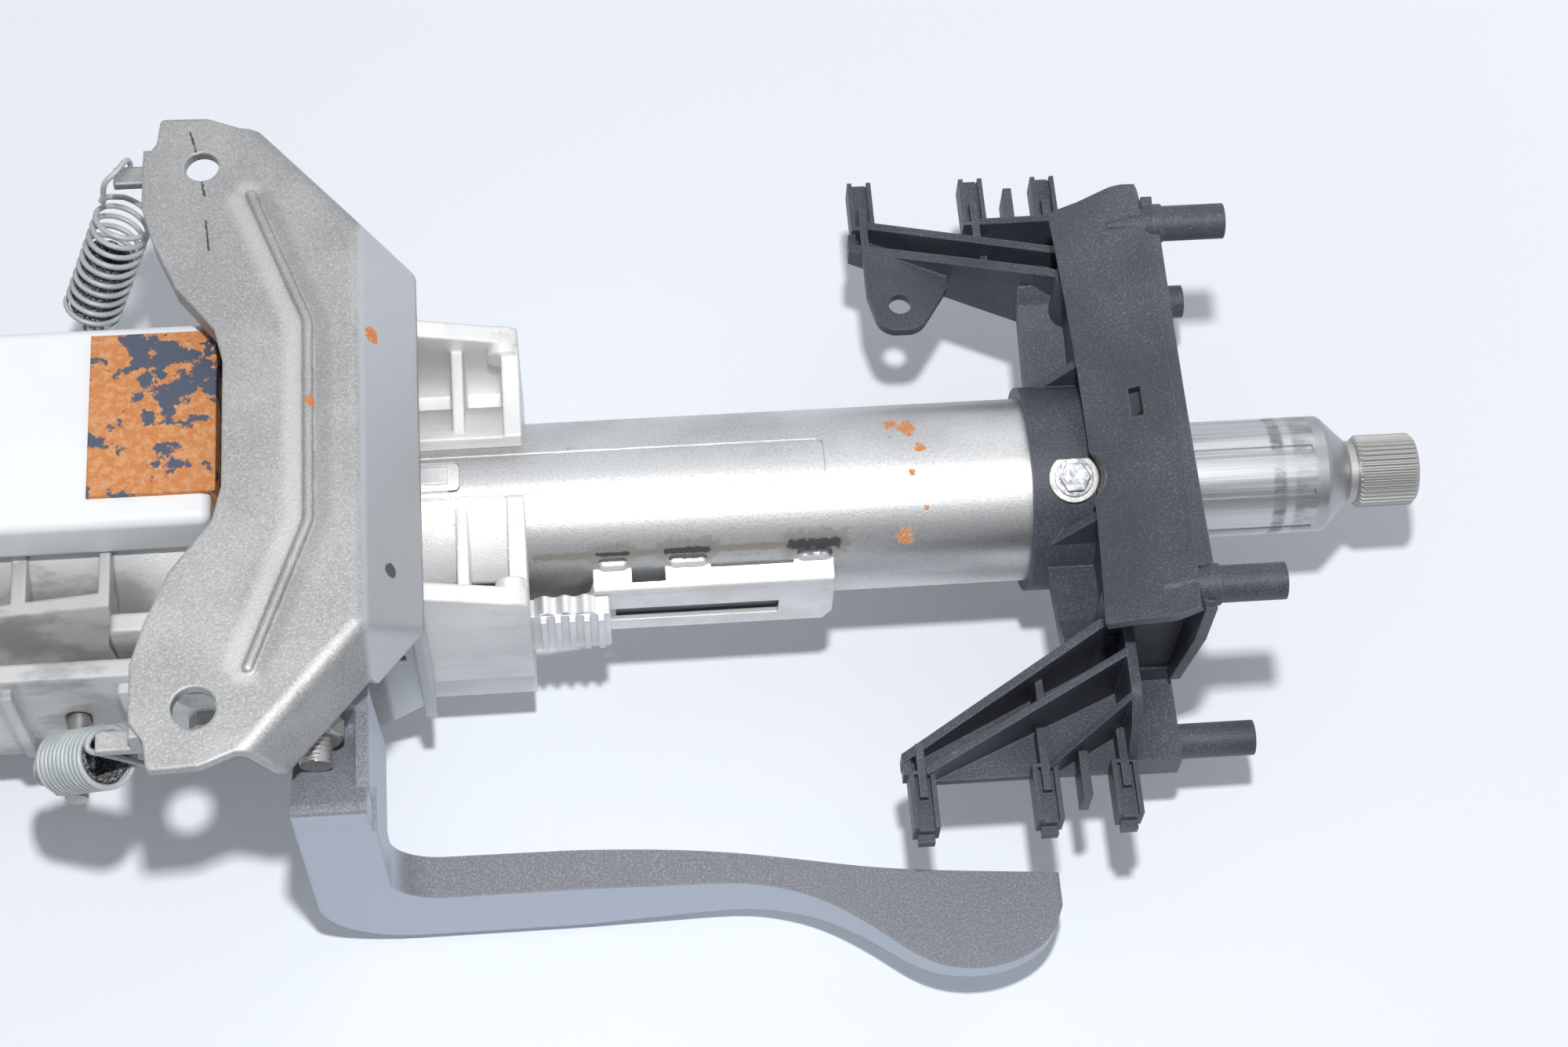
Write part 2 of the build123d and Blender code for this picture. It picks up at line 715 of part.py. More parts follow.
def hip(grow, drop):
    direction = Vector(ridge_x - wing_x, ridge_half - wing_y).normalized()
    normal = Vector(-direction.Y, direction.X)
    far = 40.0

    def ring(x_edge, offset):
        start = Vector(wing_x, wing_y) + normal * offset
        at_edge = start + direction * ((x_edge - start.X) / direction.X)
        outer = start - direction * far
        half = [(at_edge.X, at_edge.Y), (outer.X, outer.Y), (ridge_x - 120, outer.Y)]
        return half + [(x, -y) for x, y in reversed(half)]

    top_z = bracket_top_z - drop
    low_z = bracket_lower_z - 12
    full = (bracket_top_z - low_z) / (bracket_top_z - bracket_lower_z)
    upper = make_face(Polyline(*ring(ridge_x - grow, -grow), close=True))
    lower_ring = ring(ridge_x - grow + flange_run * full, -grow + diagonal_run * full)
    lower = make_face(Polyline(*lower_ring, close=True))
    return loft([Pos(0, 0, low_z) * lower, Pos(0, 0, top_z) * upper])


def rounded_hip(solid, top_z, radius):
    front = [edge for edge in solid.edges() if edge.center().X > wing_x - 20]
    ridge = [edge for edge in front if abs(edge.center().Z - top_z) < 0.1]
    corner = [edge for edge in front if edge.center().X > ridge_x - 5 and abs(edge.center().Z - top_z) > 1
              and abs((edge @ 0).Z - (edge @ 1).Z) > 5]
    return fillet(corner + ridge, radius)


def bracket_outline():
    half = [(ridge_x + flange_run + 10, wing_y - 1.6), (wing_x - 2.4, wing_y - 1.6),
            (wing_x - 5.5, wing_y - 0.4),
            (wing_x - 11.0, wing_end_y), (wing_x - 23.4, wing_end_y + 0.4)]
    half += [(wing_x + x, wing_y + y) for x, y in bracket_front_edge]
    return half + [(x, -y) for x, y in reversed(half)]


def top_bracket():
    rise = hypot(flange_run, bracket_top_z - bracket_lower_z)
    normal_share = (bracket_top_z - bracket_lower_z) / rise
    thickness = bracket_sheet / normal_share
    outer = rounded_hip(hip(0, 0), bracket_top_z, ridge_fillet)
    inner_z = bracket_top_z - bracket_sheet
    inner = hip(thickness - flange_run / (bracket_top_z - bracket_lower_z) * bracket_sheet, bracket_sheet)
    inner = rounded_hip(inner, inner_z, ridge_fillet - bracket_sheet)
    plan = bracket_outline()
    shell = (outer - inner) & plate_xy(plan, bracket_lower_z, bracket_top_z + 1, 1.5)
    keep = slab(ridge_x - 70, wing_x - 5.6, -wing_end_y - 2, wing_end_y + 2,
                bracket_top_z - rim_drop, bracket_top_z - 1)
    rim_face = outline(plan, 1.5)
    rim = extrude(Pos(0, 0, bracket_top_z - rim_drop) * (rim_face - offset(rim_face, -2.2)), rim_drop - 1)
    rim = rim & keep
    rim -= both(slab(ridge_x - 70, wing_x, wing_y - 4, wing_y + 9, bracket_lower_z,
                     bracket_top_z - bracket_sheet))
    bead_end, bead_turn = (wing_x + 0.5, wing_y - 23.2), (ridge_x - 12.8, ridge_half - 30.1)
    path = FilletPolyline((bead_end[0], -bead_end[1], 0), (bead_turn[0], -bead_turn[1], 0),
                          (*bead_turn, 0), (*bead_end, 0), radius=8)
    bead = sweep(Plane(path @ 0, z_dir=path % 0) * Circle(bead_radius), path=path)
    bead += Pos(path @ 0) * Sphere(bead_radius) + Pos(path @ 1) * Sphere(bead_radius)
    bead = Pos(0, 0, bracket_top_z - 0.3) * bead
    body = shell + rim + bead
    body -= both(slab(wing_x - 10, ridge_x + 5, bolt_clear_y, wing_end_y + 2, 0,
                      bracket_lower_z + bolt_clear))
    tongue = slab(lug_x - 3.5, lug_root_x, lug_y - lug_width / 2, lug_y + lug_width / 2,
                  lug_z - lug_thickness / 2, lug_z + lug_thickness / 2)
    riser = slab(lug_root_x - lug_riser, lug_root_x, lug_y - lug_width / 2, lug_y + lug_width / 2,
                 lug_z - lug_thickness / 2, bracket_top_z - 1)
    body += both(tongue + riser)
    body -= rod_z(bracket_lower_z, bracket_top_z + 1, bolt_hole_x, bolt_hole_y, far_hole_radius)
    return body - rod_z(bracket_lower_z, bracket_top_z + 1, bolt_hole_x, -bolt_hole_y, near_hole_radius)


# Cheeks and console

bolt_reach = hypot(bolt_x - pivot_x, bolt_z)
bolt_rest_degrees = degrees(atan2(bolt_z, bolt_x - pivot_x))
under_z = bracket_top_z - bracket_sheet


def far_cheek():
    inner = cheek_outer - cheek_sheet
    plan = [(cheek_neck_x, under_z), (cheek_neck_x, 34), (cheek_front_x, console_top_z),
            (cheek_front_x, console_bottom_z), (cheek_front_x + 22, cheek_bottom_z),
            (cheek_end_x - cheek_corner, cheek_bottom_z), (cheek_end_x, cheek_bottom_z + cheek_corner),
            (cheek_end_x, bracket_lower_z - 5), (ridge_x - 5, under_z)]
    body = plate_xz(plan, inner, cheek_outer, [1, 4, 4, 4, 8, 16, 2, 4, 1])
    body += slab(cheek_end_x - cheek_sheet, cheek_end_x, cheek_outer - 1, cheek_outer + cheek_lip,
                 cheek_bottom_z + cheek_corner, bracket_lower_z - 6)
    body += slab(cheek_neck_x, ridge_x - 6, cheek_outer - 1, cheek_outer + 14, under_z - cheek_sheet,
                 under_z)
    body -= slab(cheek_end_x - 12, cheek_end_x - 6, inner - 1, cheek_outer + 0.1, 8, 11)
    arc = CenterArc((pivot_x, 0), bolt_reach, bolt_rest_degrees - tilt_down - 0.4,
                    tilt_down + tilt_up + 0.8)
    slot = extrude(Plane.XZ.offset(-cheek_outer - 1) * SlotArc(arc, 2 * (bolt_radius + moving_gap)),
                   cheek_sheet + 2)
    body -= slot
    for z in (console_bolt_z, -console_bolt_z):
        body -= rod_y(inner - 1, cheek_outer + 1, console_bolt_x, z, console_bolt_radius + hole_gap)
    return body


def front_console():
    plan = [(console_end_x, console_bottom_z + 6), (console_end_x, console_top_z - 4),
            (console_end_x - 6, console_top_z), (pivot_x + 16, console_top_z),
            (pivot_x + 4, console_top_z - 2),
            (console_front_x, 8), (console_front_x, console_bottom_z + 8),
            (console_front_x + 10, console_bottom_z), (console_end_x - 10, console_bottom_z)]
    wall = plate_xz(plan, cheek_outer, cheek_outer + console_wall, 2.0)
    for x in console_rib_x:
        wall += slab(x - 1.5, x + 1.5, cheek_outer + console_wall - 1, cheek_outer + console_wall + 3,
                     console_bottom_z + 4, console_top_z - 4)
    wall += rod_y(cheek_outer, cheek_outer + console_wall + 2, pivot_x, 0, 13)
    foot = slab(console_front_x + 2, console_front_x + 30, cheek_outer,
                cheek_outer + console_foot_width + 4, console_bottom_z - 1, console_bottom_z + 5)
    foot -= rod_z(console_bottom_z - 2, console_bottom_z + 6, console_front_x + 16,
                  cheek_outer + console_wall + 8, 4.5)
    side = wall + foot
    reach = hypot(peg_x - pivot_x, peg_z)
    rest = degrees(atan2(peg_z, peg_x - pivot_x))
    arc = CenterArc((pivot_x, 0), reach, rest - tilt_down - 0.5, tilt_down + tilt_up + 1)
    side -= extrude(Plane.XZ.offset(-cheek_outer - console_wall - 4)
                    * SlotArc(arc, 2 * (peg_radius + moving_gap)), console_wall + 5)
    side -= rod_y(cheek_outer - 1, cheek_outer + 9, pivot_x, 0, pivot_radius + running_gap)
    for z in (console_bolt_z, -console_bolt_z):
        side -= rod_y(cheek_outer - 1, cheek_outer + console_wall + 1, console_bolt_x, z,
                      console_bolt_radius + hole_gap)
    bridge = slab(console_front_x + 2, console_front_x + 30, -cheek_outer - 1, cheek_outer + 1,
                  housing_bottom_z - 12, housing_bottom_z - 7)
    leg = slab(console_front_x + 2, console_front_x + 30, cheek_outer, cheek_outer + console_wall,
               housing_bottom_z - 12, console_bottom_z)
    return both(side + leg) + bridge


def console_bolts():
    inner = cheek_outer - cheek_sheet
    face = cheek_outer + console_wall
    solids = []
    for z in (console_bolt_z, -console_bolt_z):
        shank = rod_y(inner + 0.2, face, console_bolt_x, z, console_bolt_radius)
        hexagon = Pos(console_bolt_x, z) * RegularPolygon(console_bolt_head, 6)
        head = extrude(Plane.XZ.offset(-face - console_bolt_head_height) * hexagon,
                       console_bolt_head_height)
        bolt = shank + head
        solids += [bolt, mirrored(bolt)]
    return Compound([solid for bolt in solids for solid in bolt.solids()])


def pivot_bolts():
    face = cheek_outer + console_wall + 2
    shank = rod_y(29, face, pivot_x, 0, pivot_radius)
    head = extrude(Plane.XZ.offset(-face - pivot_head) * Pos(pivot_x, 0)
                   * RegularPolygon(pivot_head_radius, 6), pivot_head)
    bolt = shank + head
    return Compound([solid for piece in (bolt, mirrored(bolt)) for solid in piece.solids()])


# Clamp lever, bolt and cams

plate_inner_y = -cheek_outer - moving_gap
plate_outer_y = plate_inner_y - cam_plate
cam_gap = 0.5


def lobes(y0, y1, phase):
    solids = []
    for index in range(cam_lobes):
        middle = phase + 360 / cam_lobes * index
        points = [(0, 0)]
        for angle in (middle - cam_lobe_degrees / 2, middle + cam_lobe_degrees / 2):
            points.append((30 * cos(radians(angle)), 30 * sin(radians(angle))))
        sector = Pos(bolt_x, bolt_z) * make_face(Polyline(*points, close=True))
        wedge = extrude(Plane.XZ.offset(-y1) * sector, y1 - y0)
        ring = rod_y(y0, y1, bolt_x, bolt_z, cam_radius - 1)
        ring -= rod_y(y0, y1, bolt_x, bolt_z, bolt_radius + 2)
        solids.append(wedge & ring)
    return solids


def pressure_plate():
    body = rod_y(plate_outer_y, plate_inner_y, bolt_x, bolt_z, cam_radius)
    for lobe in lobes(plate_outer_y - clamp_lift, plate_outer_y, 90):
        body += lobe
    return body - rod_y(-80, -20, bolt_x, bolt_z, bolt_radius + running_gap)


cam_tip_y = plate_outer_y - clamp_lift - cam_gap
cam_base_y = cam_tip_y - clamp_lift


def cam_disc():
    body = rod_y(lever_hub_y, cam_base_y, bolt_x, bolt_z, cam_radius)
    for lobe in lobes(cam_base_y, cam_tip_y, 90):
        body += lobe
    return body - rod_y(-80, -20, bolt_x, bolt_z, bolt_radius)


def clamp_bolt():
    shank = rod_y(bolt_tip_y, cheek_outer + moving_gap, bolt_x, bolt_z, bolt_radius)
    seat = cheek_outer + moving_gap
    hexagon = Pos(bolt_x, bolt_z) * RegularPolygon(bolt_head_radius, 6)
    return shank + extrude(Plane.XZ.offset(-seat - bolt_head) * hexagon, bolt_head)


hub_face_y = lever_hub_y - lever_hub_plate


def clamp_washers():
    ring = rod_y(hub_face_y - washer_thickness, hub_face_y, bolt_x, bolt_z, washer_radius)
    second = rod_y(hub_face_y - 2 * washer_thickness, hub_face_y - washer_thickness, bolt_x, bolt_z,
                   washer_radius - 1.2)
    hole = rod_y(bolt_tip_y, hub_face_y, bolt_x, bolt_z, bolt_radius)
    return Compound([solid for piece in (ring - hole, second - hole) for solid in piece.solids()])


def clamp_nut():
    y = hub_face_y - 2 * washer_thickness
    hexagon = Pos(bolt_x, bolt_z) * RegularPolygon(nut_across / 2, 6, major_radius=False)
    nut = extrude(Plane.XZ.offset(-y) * hexagon, nut_height)
    cone = Pos(bolt_x, y - nut_height / 2, bolt_z) * Rot(90, 0, 0) * Cylinder(nut_across / 2 * 1.1,
                                                                              nut_height)
    nut = nut & chamfer(cone.edges().filter_by(GeomType.CIRCLE), 1.0)
    return nut - rod_y(bolt_tip_y, y, bolt_x, bolt_z, bolt_radius)


def lever_plan():
    outer = Spline(*pad_edge, tangents=((1, 0), (0, 1)))
    inner = Spline(*arm_inner_edge)
    elbow_y = arm_inner_edge[-1][1]
    corners = Polyline(arm_inner_edge[-1], (lever_left_x, elbow_y), (lever_left_x, lever_outer_y),
                       pad_edge[0])
    end = Line(pad_edge[-1], arm_inner_edge[0])
    return make_face(Wire([outer, end, inner, *corners.edges()]))


def lever():
    arm_inner_y = lever_outer_y + lever_arm_thickness
    side = [(lever_left_x, lever_ledge_z), (lever_left_x, lever_bottom_z), *arm_bottom_edge, *arm_top_edge,
            (lever_right_x, lever_arm_top_z), (lever_right_x, lever_ledge_z)]
    radii = [0.5, elbow_outer_radius, *arm_edge_radii, elbow_inner_radius, 0.5]
    arm = extrude(Pos(0, 0, lever_bottom_z) * lever_plan(), lever_ledge_z - lever_bottom_z)
    arm &= plate_xz(side, pad_edge[7][1] - 2, arm_inner_y + 1, radii)
    limb = plate_yz([(lever_outer_y, -20), (lever_outer_y, lever_front_z),
                     (lever_outer_y + 3, lever_front_z),
                     (hub_face_y - 3, lever_ledge_z), (lever_hub_y, lever_ledge_z), (lever_hub_y, -20)],
                    lever_left_x, lever_right_x, 1.5)
    limb &= plate_xz([(lever_left_x, lever_front_z + 1), (lever_left_x, -22), (lever_left_x + 8, -32),
                      (lever_right_x - 2, -26), (lever_right_x, -8),
                      (lever_right_x - 1.5, lever_front_z + 1)],
                     lever_outer_y, lever_hub_y, [0.5, 6, 4, 4, 20, 0.5])
    hub = plate_xz([(lever_left_x, lever_ledge_z - 6), (lever_right_x - 1, lever_ledge_z - 6),
                    (lever_right_x - 1, bolt_z - 3), (bolt_x + 5, bolt_z + 8.6),
                    (bolt_x - 4, bolt_z + 8.6),
                    (lever_left_x, bolt_z + 4)], hub_face_y, lever_hub_y, 2.5)
    rim = plate_yz([(lever_outer_y + 7, 18), (lever_outer_y + 7, lever_front_z - 2),
                    (-84, lever_ledge_z + 10),
                    (hub_face_y + 1, lever_ledge_z + 9), (hub_face_y + 1, 18)],
                   lever_right_x - lever_rim - 1, lever_right_x - 1, [0.5, 4, 4, 0.5, 0.5])
    cavity = slab(lever_left_x + lever_wall, lever_right_x - lever_wall, lever_outer_y + 14,
                  lever_hub_y + 1, -16, lever_ledge_z - lever_wall)
    body = arm + limb + hub + rim - cavity
    return body - rod_y(hub_face_y - 1, lever_hub_y + 1, bolt_x, bolt_z, bolt_radius)


# Trim carrier

def visor_solid():
    run = visor_end_x - visor_front_x
    rise = visor_high_z - visor_low_z
    slope = degrees(atan2(rise, run))
    length = hypot(run, rise)
    sag_radius = (visor_half ** 2 + visor_rise ** 2) / (2 * visor_rise)
    ring = Cylinder(sag_radius, length) - Cylinder(sag_radius - carrier_wall, length)
    ring = Rot(0, 90, 0) * ring
    ring = Pos(length / 2, 0, sag_radius) * ring
    keep = Pos(length / 2, 0, visor_rise / 2) * Box(length, 2 * visor_half + 8,
                                                    visor_rise + 3 * carrier_wall)
    visor = Pos(visor_front_x, 0, visor_low_z) * Rot(0, -slope, 0) * (ring & keep)
    end = [(visor_front_x - 5, visor_half), (visor_front_x + 3, visor_half + 0.8),
           (visor_end_x - 10.3, visor_half + 2.6), (visor_end_x, visor_half),
           (visor_end_x + 5, visor_half - 2)]
    plan = end + [(x, -y) for x, y in reversed(end)]
    return visor & plate_xy(plan, visor_low_z - 5, visor_high_z + 2 * visor_rise,
                            [1, 6, 12, 6, 1, 1, 6, 12, 6, 1])


def rail(start, end, thickness):
    (x0, y0, z0), (x1, y1, z1) = start, end
    plan = [(x0, y0), (x1, y1), (x1, y1 + thickness), (x0, y0 + thickness)]
    side = [(x0, z0), (x1, z1), (x1, arm_floor_z), (x0, arm_floor_z)]
    return plate_xy(plan, arm_floor_z, max(z0, z1)) & plate_xz(side, 40, arm_outer + 5)


def carrier_arm():
    floor_end_x = arm_root_x + 4
    plan = [(arm_tip_x, arm_tip_inner), (-98, arm_root_inner + 1.6), (floor_end_x, arm_root_inner),
            (floor_end_x, arm_outer), (arm_tip_x + 2, arm_outer)]
    body = plate_xy(plan, arm_floor_z, arm_floor_z + floor_sheet, [1, 4, 1, 1, 1])
    body += slab(arm_tip_x + 0.2, arm_tip_x + 2.4, arm_tip_inner + 0.5, arm_outer - 1, arm_floor_z,
                 arm_tip_z - 0.5)
    for start, end, thickness in arm_rails:
        body += rail(start, end, thickness)
    x0, x1, y0, y1, top = cross_rib
    body += slab(x0, x1, y0, y1, arm_floor_z, top)
    wall = plate_yz([(arm_root_inner, arm_floor_z), (arm_root_inner, 24), (73, 23.5), (79, 18),
                     (arm_outer, 5),
                     (arm_outer, arm_floor_z)], arm_root_x + 0.5, arm_root_x + 3.2, [0.5, 2, 6, 6, 2, 0.5])
    return body + wall


def carrier_post(x, inner, tip):
    low, top, half = post_z - post_height / 2, post_z + post_height / 2, post_width / 2
    body = slab(x - half, x + half, arm_outer - 1, tip, low, top)
    body -= slab(x - half + 1.3, x + half - 1.3, arm_outer, tip + 1, top - 2.2, top + 1)
    body += slab(x - post_rib / 2, x + post_rib / 2, inner, post_rib_end, arm_floor_z, top)
    return body + slab(x - post_rib, x + post_rib, tip - 1, tip + tongue, low, low + 3)


def pin_root():
    x = visor_end_x + pin_root_length
    cone = turned([(visor_end_x - pin_cone, 0), (visor_end_x - pin_cone, 1),
                   (visor_end_x - 1, pin_root_radius), (x, pin_root_radius), (x, 0)])
    return Pos(0, upper_pin_y, upper_pin_z) * cone


def trim_carrier():
    collar_radius = jacket_radius + collar_wall
    body = rod_x(collar_front_x, collar_end_x, 0, 0, collar_radius)
    body += rod_x(collar_end_x - 3, collar_end_x, 0, 0, collar_radius + 3)
    body += visor_solid()
    web = plate_yz([(0, -6), (40, 6), (arm_root_inner + 2, 10), (arm_root_inner + 2, arm_root_z),
                    (40, 26), (0, 33)], visor_front_x + 1, visor_front_x + 1 + carrier_wall)
    shelf = plate_yz([(20, 3.5), (28.6, 6.5), (45.3, 10.7), (50.5, 14), (54.5, 18), (54.5, 12), (51, 9),
                      (45.3, 7.5), (28.6, 3.5)], web_front_x, visor_front_x + 2)
    column = rod_z(5, column_top_z, column_x, column_y, column_radius)
    back = plate_yz([(0, -30), (30, -24), (56, -8), (visor_half, 30),
                     (visor_half, visor_high_z + visor_rise - 2),
                     (40, visor_high_z + 1), (0, visor_high_z - 2)],
                    visor_end_x - carrier_wall, visor_end_x)
    gusset = plate_xz([(collar_front_x + 3, 12), (visor_front_x + 4, 33), (visor_front_x + 4, 12)], 22,
                      24.5)
    side = plate_xz([(visor_front_x + 1, -8), (visor_front_x + 1, visor_low_z + 3),
                     (visor_end_x, visor_high_z + 3),
                     (visor_end_x, -8)], arm_root_inner - 2, arm_root_inner + 1)
    x0, y0, y1, z0, z1 = pin_block
    block = slab(x0, pin_block_x, y0, y1, z0, z1)
    block -= slab(x0 + 3, pin_block_x - 2.5, y0 + 2.5, y1 - 2.5, z0 - 1, z1 - 2.5)
    stand = slab(x0 - 2.5, x0 + 0.5, y0, y1, z0, arm_floor_z + 1)
    lower_pin = rod_x(pin_block_x - 1, lower_pin_tip_x, lower_pin_y, lower_pin_z, pin_radius)
    upper_pin = rod_x(visor_end_x - 2, upper_pin_tip_x, upper_pin_y, upper_pin_z, pin_radius)
    fin = plate_xy([(fin_x - 1.2, arm_outer - 3), (fin_x - 1.2, fin_tip), (fin_x + 1.2, fin_tip),
                    (fin_x + 1.2, arm_outer - 3)], arm_floor_z, post_z + 6)
    pieces = [web, shelf, column, back, gusset, side, block, stand, lower_pin, upper_pin, pin_root(), fin,
              carrier_arm()]
    for x, inner, tip in posts:
        pieces.append(carrier_post(x, inner, tip))
    for piece in pieces:
        body += both(piece)
    tab = plate_xy([(tab_x - 9, tab_y + 20), (tab_x - 9, tab_y + 4), (tab_x - 6, tab_y - 8.5),
                    (tab_x + 5, tab_y - 8.5), (tab_x + 14, tab_y + 5), (tab_x + 14, tab_y + 14)],
                   tab_z - 3, tab_z, [1, 2, 6, 6, 2, 1])
    body += tab
    body -= rod_z(tab_z - 6, tab_z + 2, tab_x, tab_y, tab_hole_radius)
    for y in (upper_pin_y, -upper_pin_y):
        body -= rod_x(upper_pin_tip_x - 10, upper_pin_tip_x, y, upper_pin_z, 1.6)
    for y in (lower_pin_y, -lower_pin_y):
        body -= rod_x(lower_pin_tip_x - 10, lower_pin_tip_x, y, lower_pin_z, 1.6)
    body -= slab(-84, -81, -0.5, 8, 25, 45)
    seat = jacket_radius + collar_wall
    body -= Rot(screw_degrees, 0, 0) * rod_z(seat, seat + 30, screw_x, 0, clip_radius + moving_gap)
    body -= rod_x(collar_front_x - 1, jacket_end_x, 0, 0, jacket_radius)
    body -= rod_x(jacket_end_x - 1, visor_end_x + 5, 0, 0, spindle_radius + 4)
    hole = rod_z(jacket_inner - 1, jacket_radius + 9, screw_x, 0, screw_radius)
    return body - Rot(screw_degrees, 0, 0) * hole


def on_collar(shape):
    return Rot(screw_degrees, 0, 0) * shape


def clip_washer():
    seat = jacket_radius + collar_wall
    disc = rod_z(seat, seat + clip_sheet, screw_x, 0, clip_radius)
    disc -= slab(screw_x - 10, screw_x + 10, clip_radius - 1.5, clip_radius + 5, seat - 1, seat + 2)
    skirt = rod_z(seat - 1.6, seat, screw_x, 0, clip_radius)
    skirt &= slab(screw_x - 10, screw_x + 10, -3, 3, seat - 2, seat)
    skirt -= rod_x(screw_x - 12, screw_x + 12, 0, 0, seat + 2 * running_gap)
    disc += skirt
    return on_collar(disc - rod_z(seat - 3, seat + 2, screw_x, 0, screw_radius))


def carrier_screw():
    seat = jacket_radius + collar_wall + clip_sheet
    shank = rod_z(jacket_radius + 0.2, seat, screw_x, 0, screw_radius)
    head = Pos(screw_x, 0, seat) * extrude(RegularPolygon(screw_head_radius, 6), 2.6)
    flange = rod_z(seat, seat + 0.9, screw_x, 0, screw_head_radius + 0.9)
    return on_collar(shank + head + flange)


# Balance springs

loop_gap = 3.5
lug_loop_z = lug_z + lug_thickness / 2 + wire_radius + running_gap - spring_loop_radius
peg_loop_z = peg_z + spring_loop_radius - wire_radius - peg_groove_radius - running_gap
far_top = Vector(lug_x, lug_y, lug_loop_z - spring_loop_radius)
far_low = Vector(peg_x, peg_y, peg_loop_z + spring_loop_radius)
near_top = Vector(lug_x, -lug_y, far_top.Z)
near_direction = Vector(-14.9, 6.2, -17.0).normalized()
near_coil = 23.0


def spring_end():
    core = spring_radius - wire_radius
    leg = Pos(0, 0, loop_gap / 2 + 0.4) * Cylinder(wire_radius - 0.06, loop_gap + 0.6)
    return leg + Pos(0, core / 2, loop_gap + 0.3) * Rot(90, 0, 0) * Cylinder(wire_radius, core)


def spring_frame(start, direction):
    return Plane(origin=start, x_dir=(0, 1, 0), z_dir=direction)


def hooked_spring(start, direction, length):
    coil_length = length - 2 * loop_gap
    tube = Cylinder(spring_radius, coil_length) - Cylinder(spring_radius - 2 * wire_radius, coil_length)
    body = Pos(0, 0, length / 2) * tube + spring_end()
    body += Pos(0, 0, length) * Rot(180, 0, 0) * spring_end()
    ring = Torus(spring_loop_radius, wire_radius)
    return spring_frame(start, direction) * body + Pos(start.X, start.Y, lug_loop_z) * Rot(0, 90, 0) * ring


def far_spring():
    run = far_low - far_top
    ring = Pos(peg_x, peg_y, peg_loop_z) * Rot(90, 0, 0) * Torus(spring_loop_radius, wire_radius)
    return hooked_spring(far_top, run, run.length) + ring


def near_spring():
    length = near_coil + 2 * loop_gap
    ring = Rot(0, 90, 0) * Torus(spring_loop_radius, wire_radius)
    ring = Pos(0, 0, length + spring_loop_radius) * ring
    return hooked_spring(near_top, near_direction, length) + spring_frame(near_top, near_direction) * ring


def far_sleeve():
    run = far_low - far_top
    length = run.length - 2 * loop_gap - 8
    outer = spring_radius - 2 * wire_radius
    tube = Cylinder(outer, length) - Cylinder(outer - sleeve_wall, length)
    return spring_frame(far_top, run) * Pos(0, 0, run.length / 2) * tube


def main():
    os.makedirs("parts", exist_ok=True)
    nodes = {
        "steering_spindle": steering_spindle(),
        "spindle_clip": spindle_clip(),
        "upper_inner_race": upper_inner_race(),
        "upper_outer_race": upper_outer_race(),
        "upper_balls": upper_balls(),
        "jacket_clip": jacket_clip(),
        "lower_shaft": lower_shaft(),
        "lower_clip": lower_clip(),
        "lower_bearing_cup": lower_bearing_cup(),
        "lower_needles": lower_needles(),
        "jacket_tube": jacket_tube(),
        "slot_insert": slot_insert(),
        "reach_strap": reach_strap(),
        "stop_block": stop_block(),
        "wavy_leaf": wavy_leaf(),
        "tilt_housing": tilt_housing(),
        "guide_key": guide_key(),
        "module_box": module_box(),
        "module_strap": module_strap(),
        "top_bracket": top_bracket(),
        "far_cheek": far_cheek(),
        "near_cheek": mirrored(far_cheek()),
        "front_console": front_console(),
        "console_bolts": console_bolts(),
        "pivot_bolts": pivot_bolts(),
        "pressure_plate": pressure_plate(),
        "cam_disc": cam_disc(),
        "clamp_bolt": clamp_bolt(),
        "clamp_washers": clamp_washers(),
        "clamp_nut": clamp_nut(),
        "lever": lever(),
        "trim_carrier": trim_carrier(),
        "clip_washer": clip_washer(),
        "carrier_screw": carrier_screw(),
        "spring_pegs": Compound([solid for solid in both(spring_peg()).solids()]),
        "far_spring": far_spring(),
        "near_spring": near_spring(),
        "far_sleeve": far_sleeve(),
    }
    for name, shape in nodes.items():
        export_step(shape, f"parts/{name}.step")


main()
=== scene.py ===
import json
from math import cos, pi, radians, sin

import bmesh
import bpy
from mathutils import Matrix, Vector


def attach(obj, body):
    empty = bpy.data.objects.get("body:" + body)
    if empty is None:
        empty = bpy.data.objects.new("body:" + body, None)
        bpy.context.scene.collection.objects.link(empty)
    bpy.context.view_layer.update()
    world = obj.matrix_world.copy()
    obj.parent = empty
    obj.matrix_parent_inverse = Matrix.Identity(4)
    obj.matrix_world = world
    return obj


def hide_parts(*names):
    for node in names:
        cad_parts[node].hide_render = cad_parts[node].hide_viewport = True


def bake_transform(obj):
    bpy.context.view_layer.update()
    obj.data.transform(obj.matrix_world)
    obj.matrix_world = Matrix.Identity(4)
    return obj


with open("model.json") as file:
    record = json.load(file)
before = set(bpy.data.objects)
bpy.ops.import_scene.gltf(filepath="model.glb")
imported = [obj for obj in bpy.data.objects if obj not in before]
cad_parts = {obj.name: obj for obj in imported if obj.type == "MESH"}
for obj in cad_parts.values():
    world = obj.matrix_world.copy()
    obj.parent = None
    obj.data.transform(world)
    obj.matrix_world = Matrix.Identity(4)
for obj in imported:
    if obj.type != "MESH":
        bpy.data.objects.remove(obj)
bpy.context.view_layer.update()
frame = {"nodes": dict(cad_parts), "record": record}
nodes = frame["nodes"]
scene = bpy.context.scene
print("frame loaded:", len(nodes), "nodes")


# Node helpers, shared by the sky, the finishes and the coils

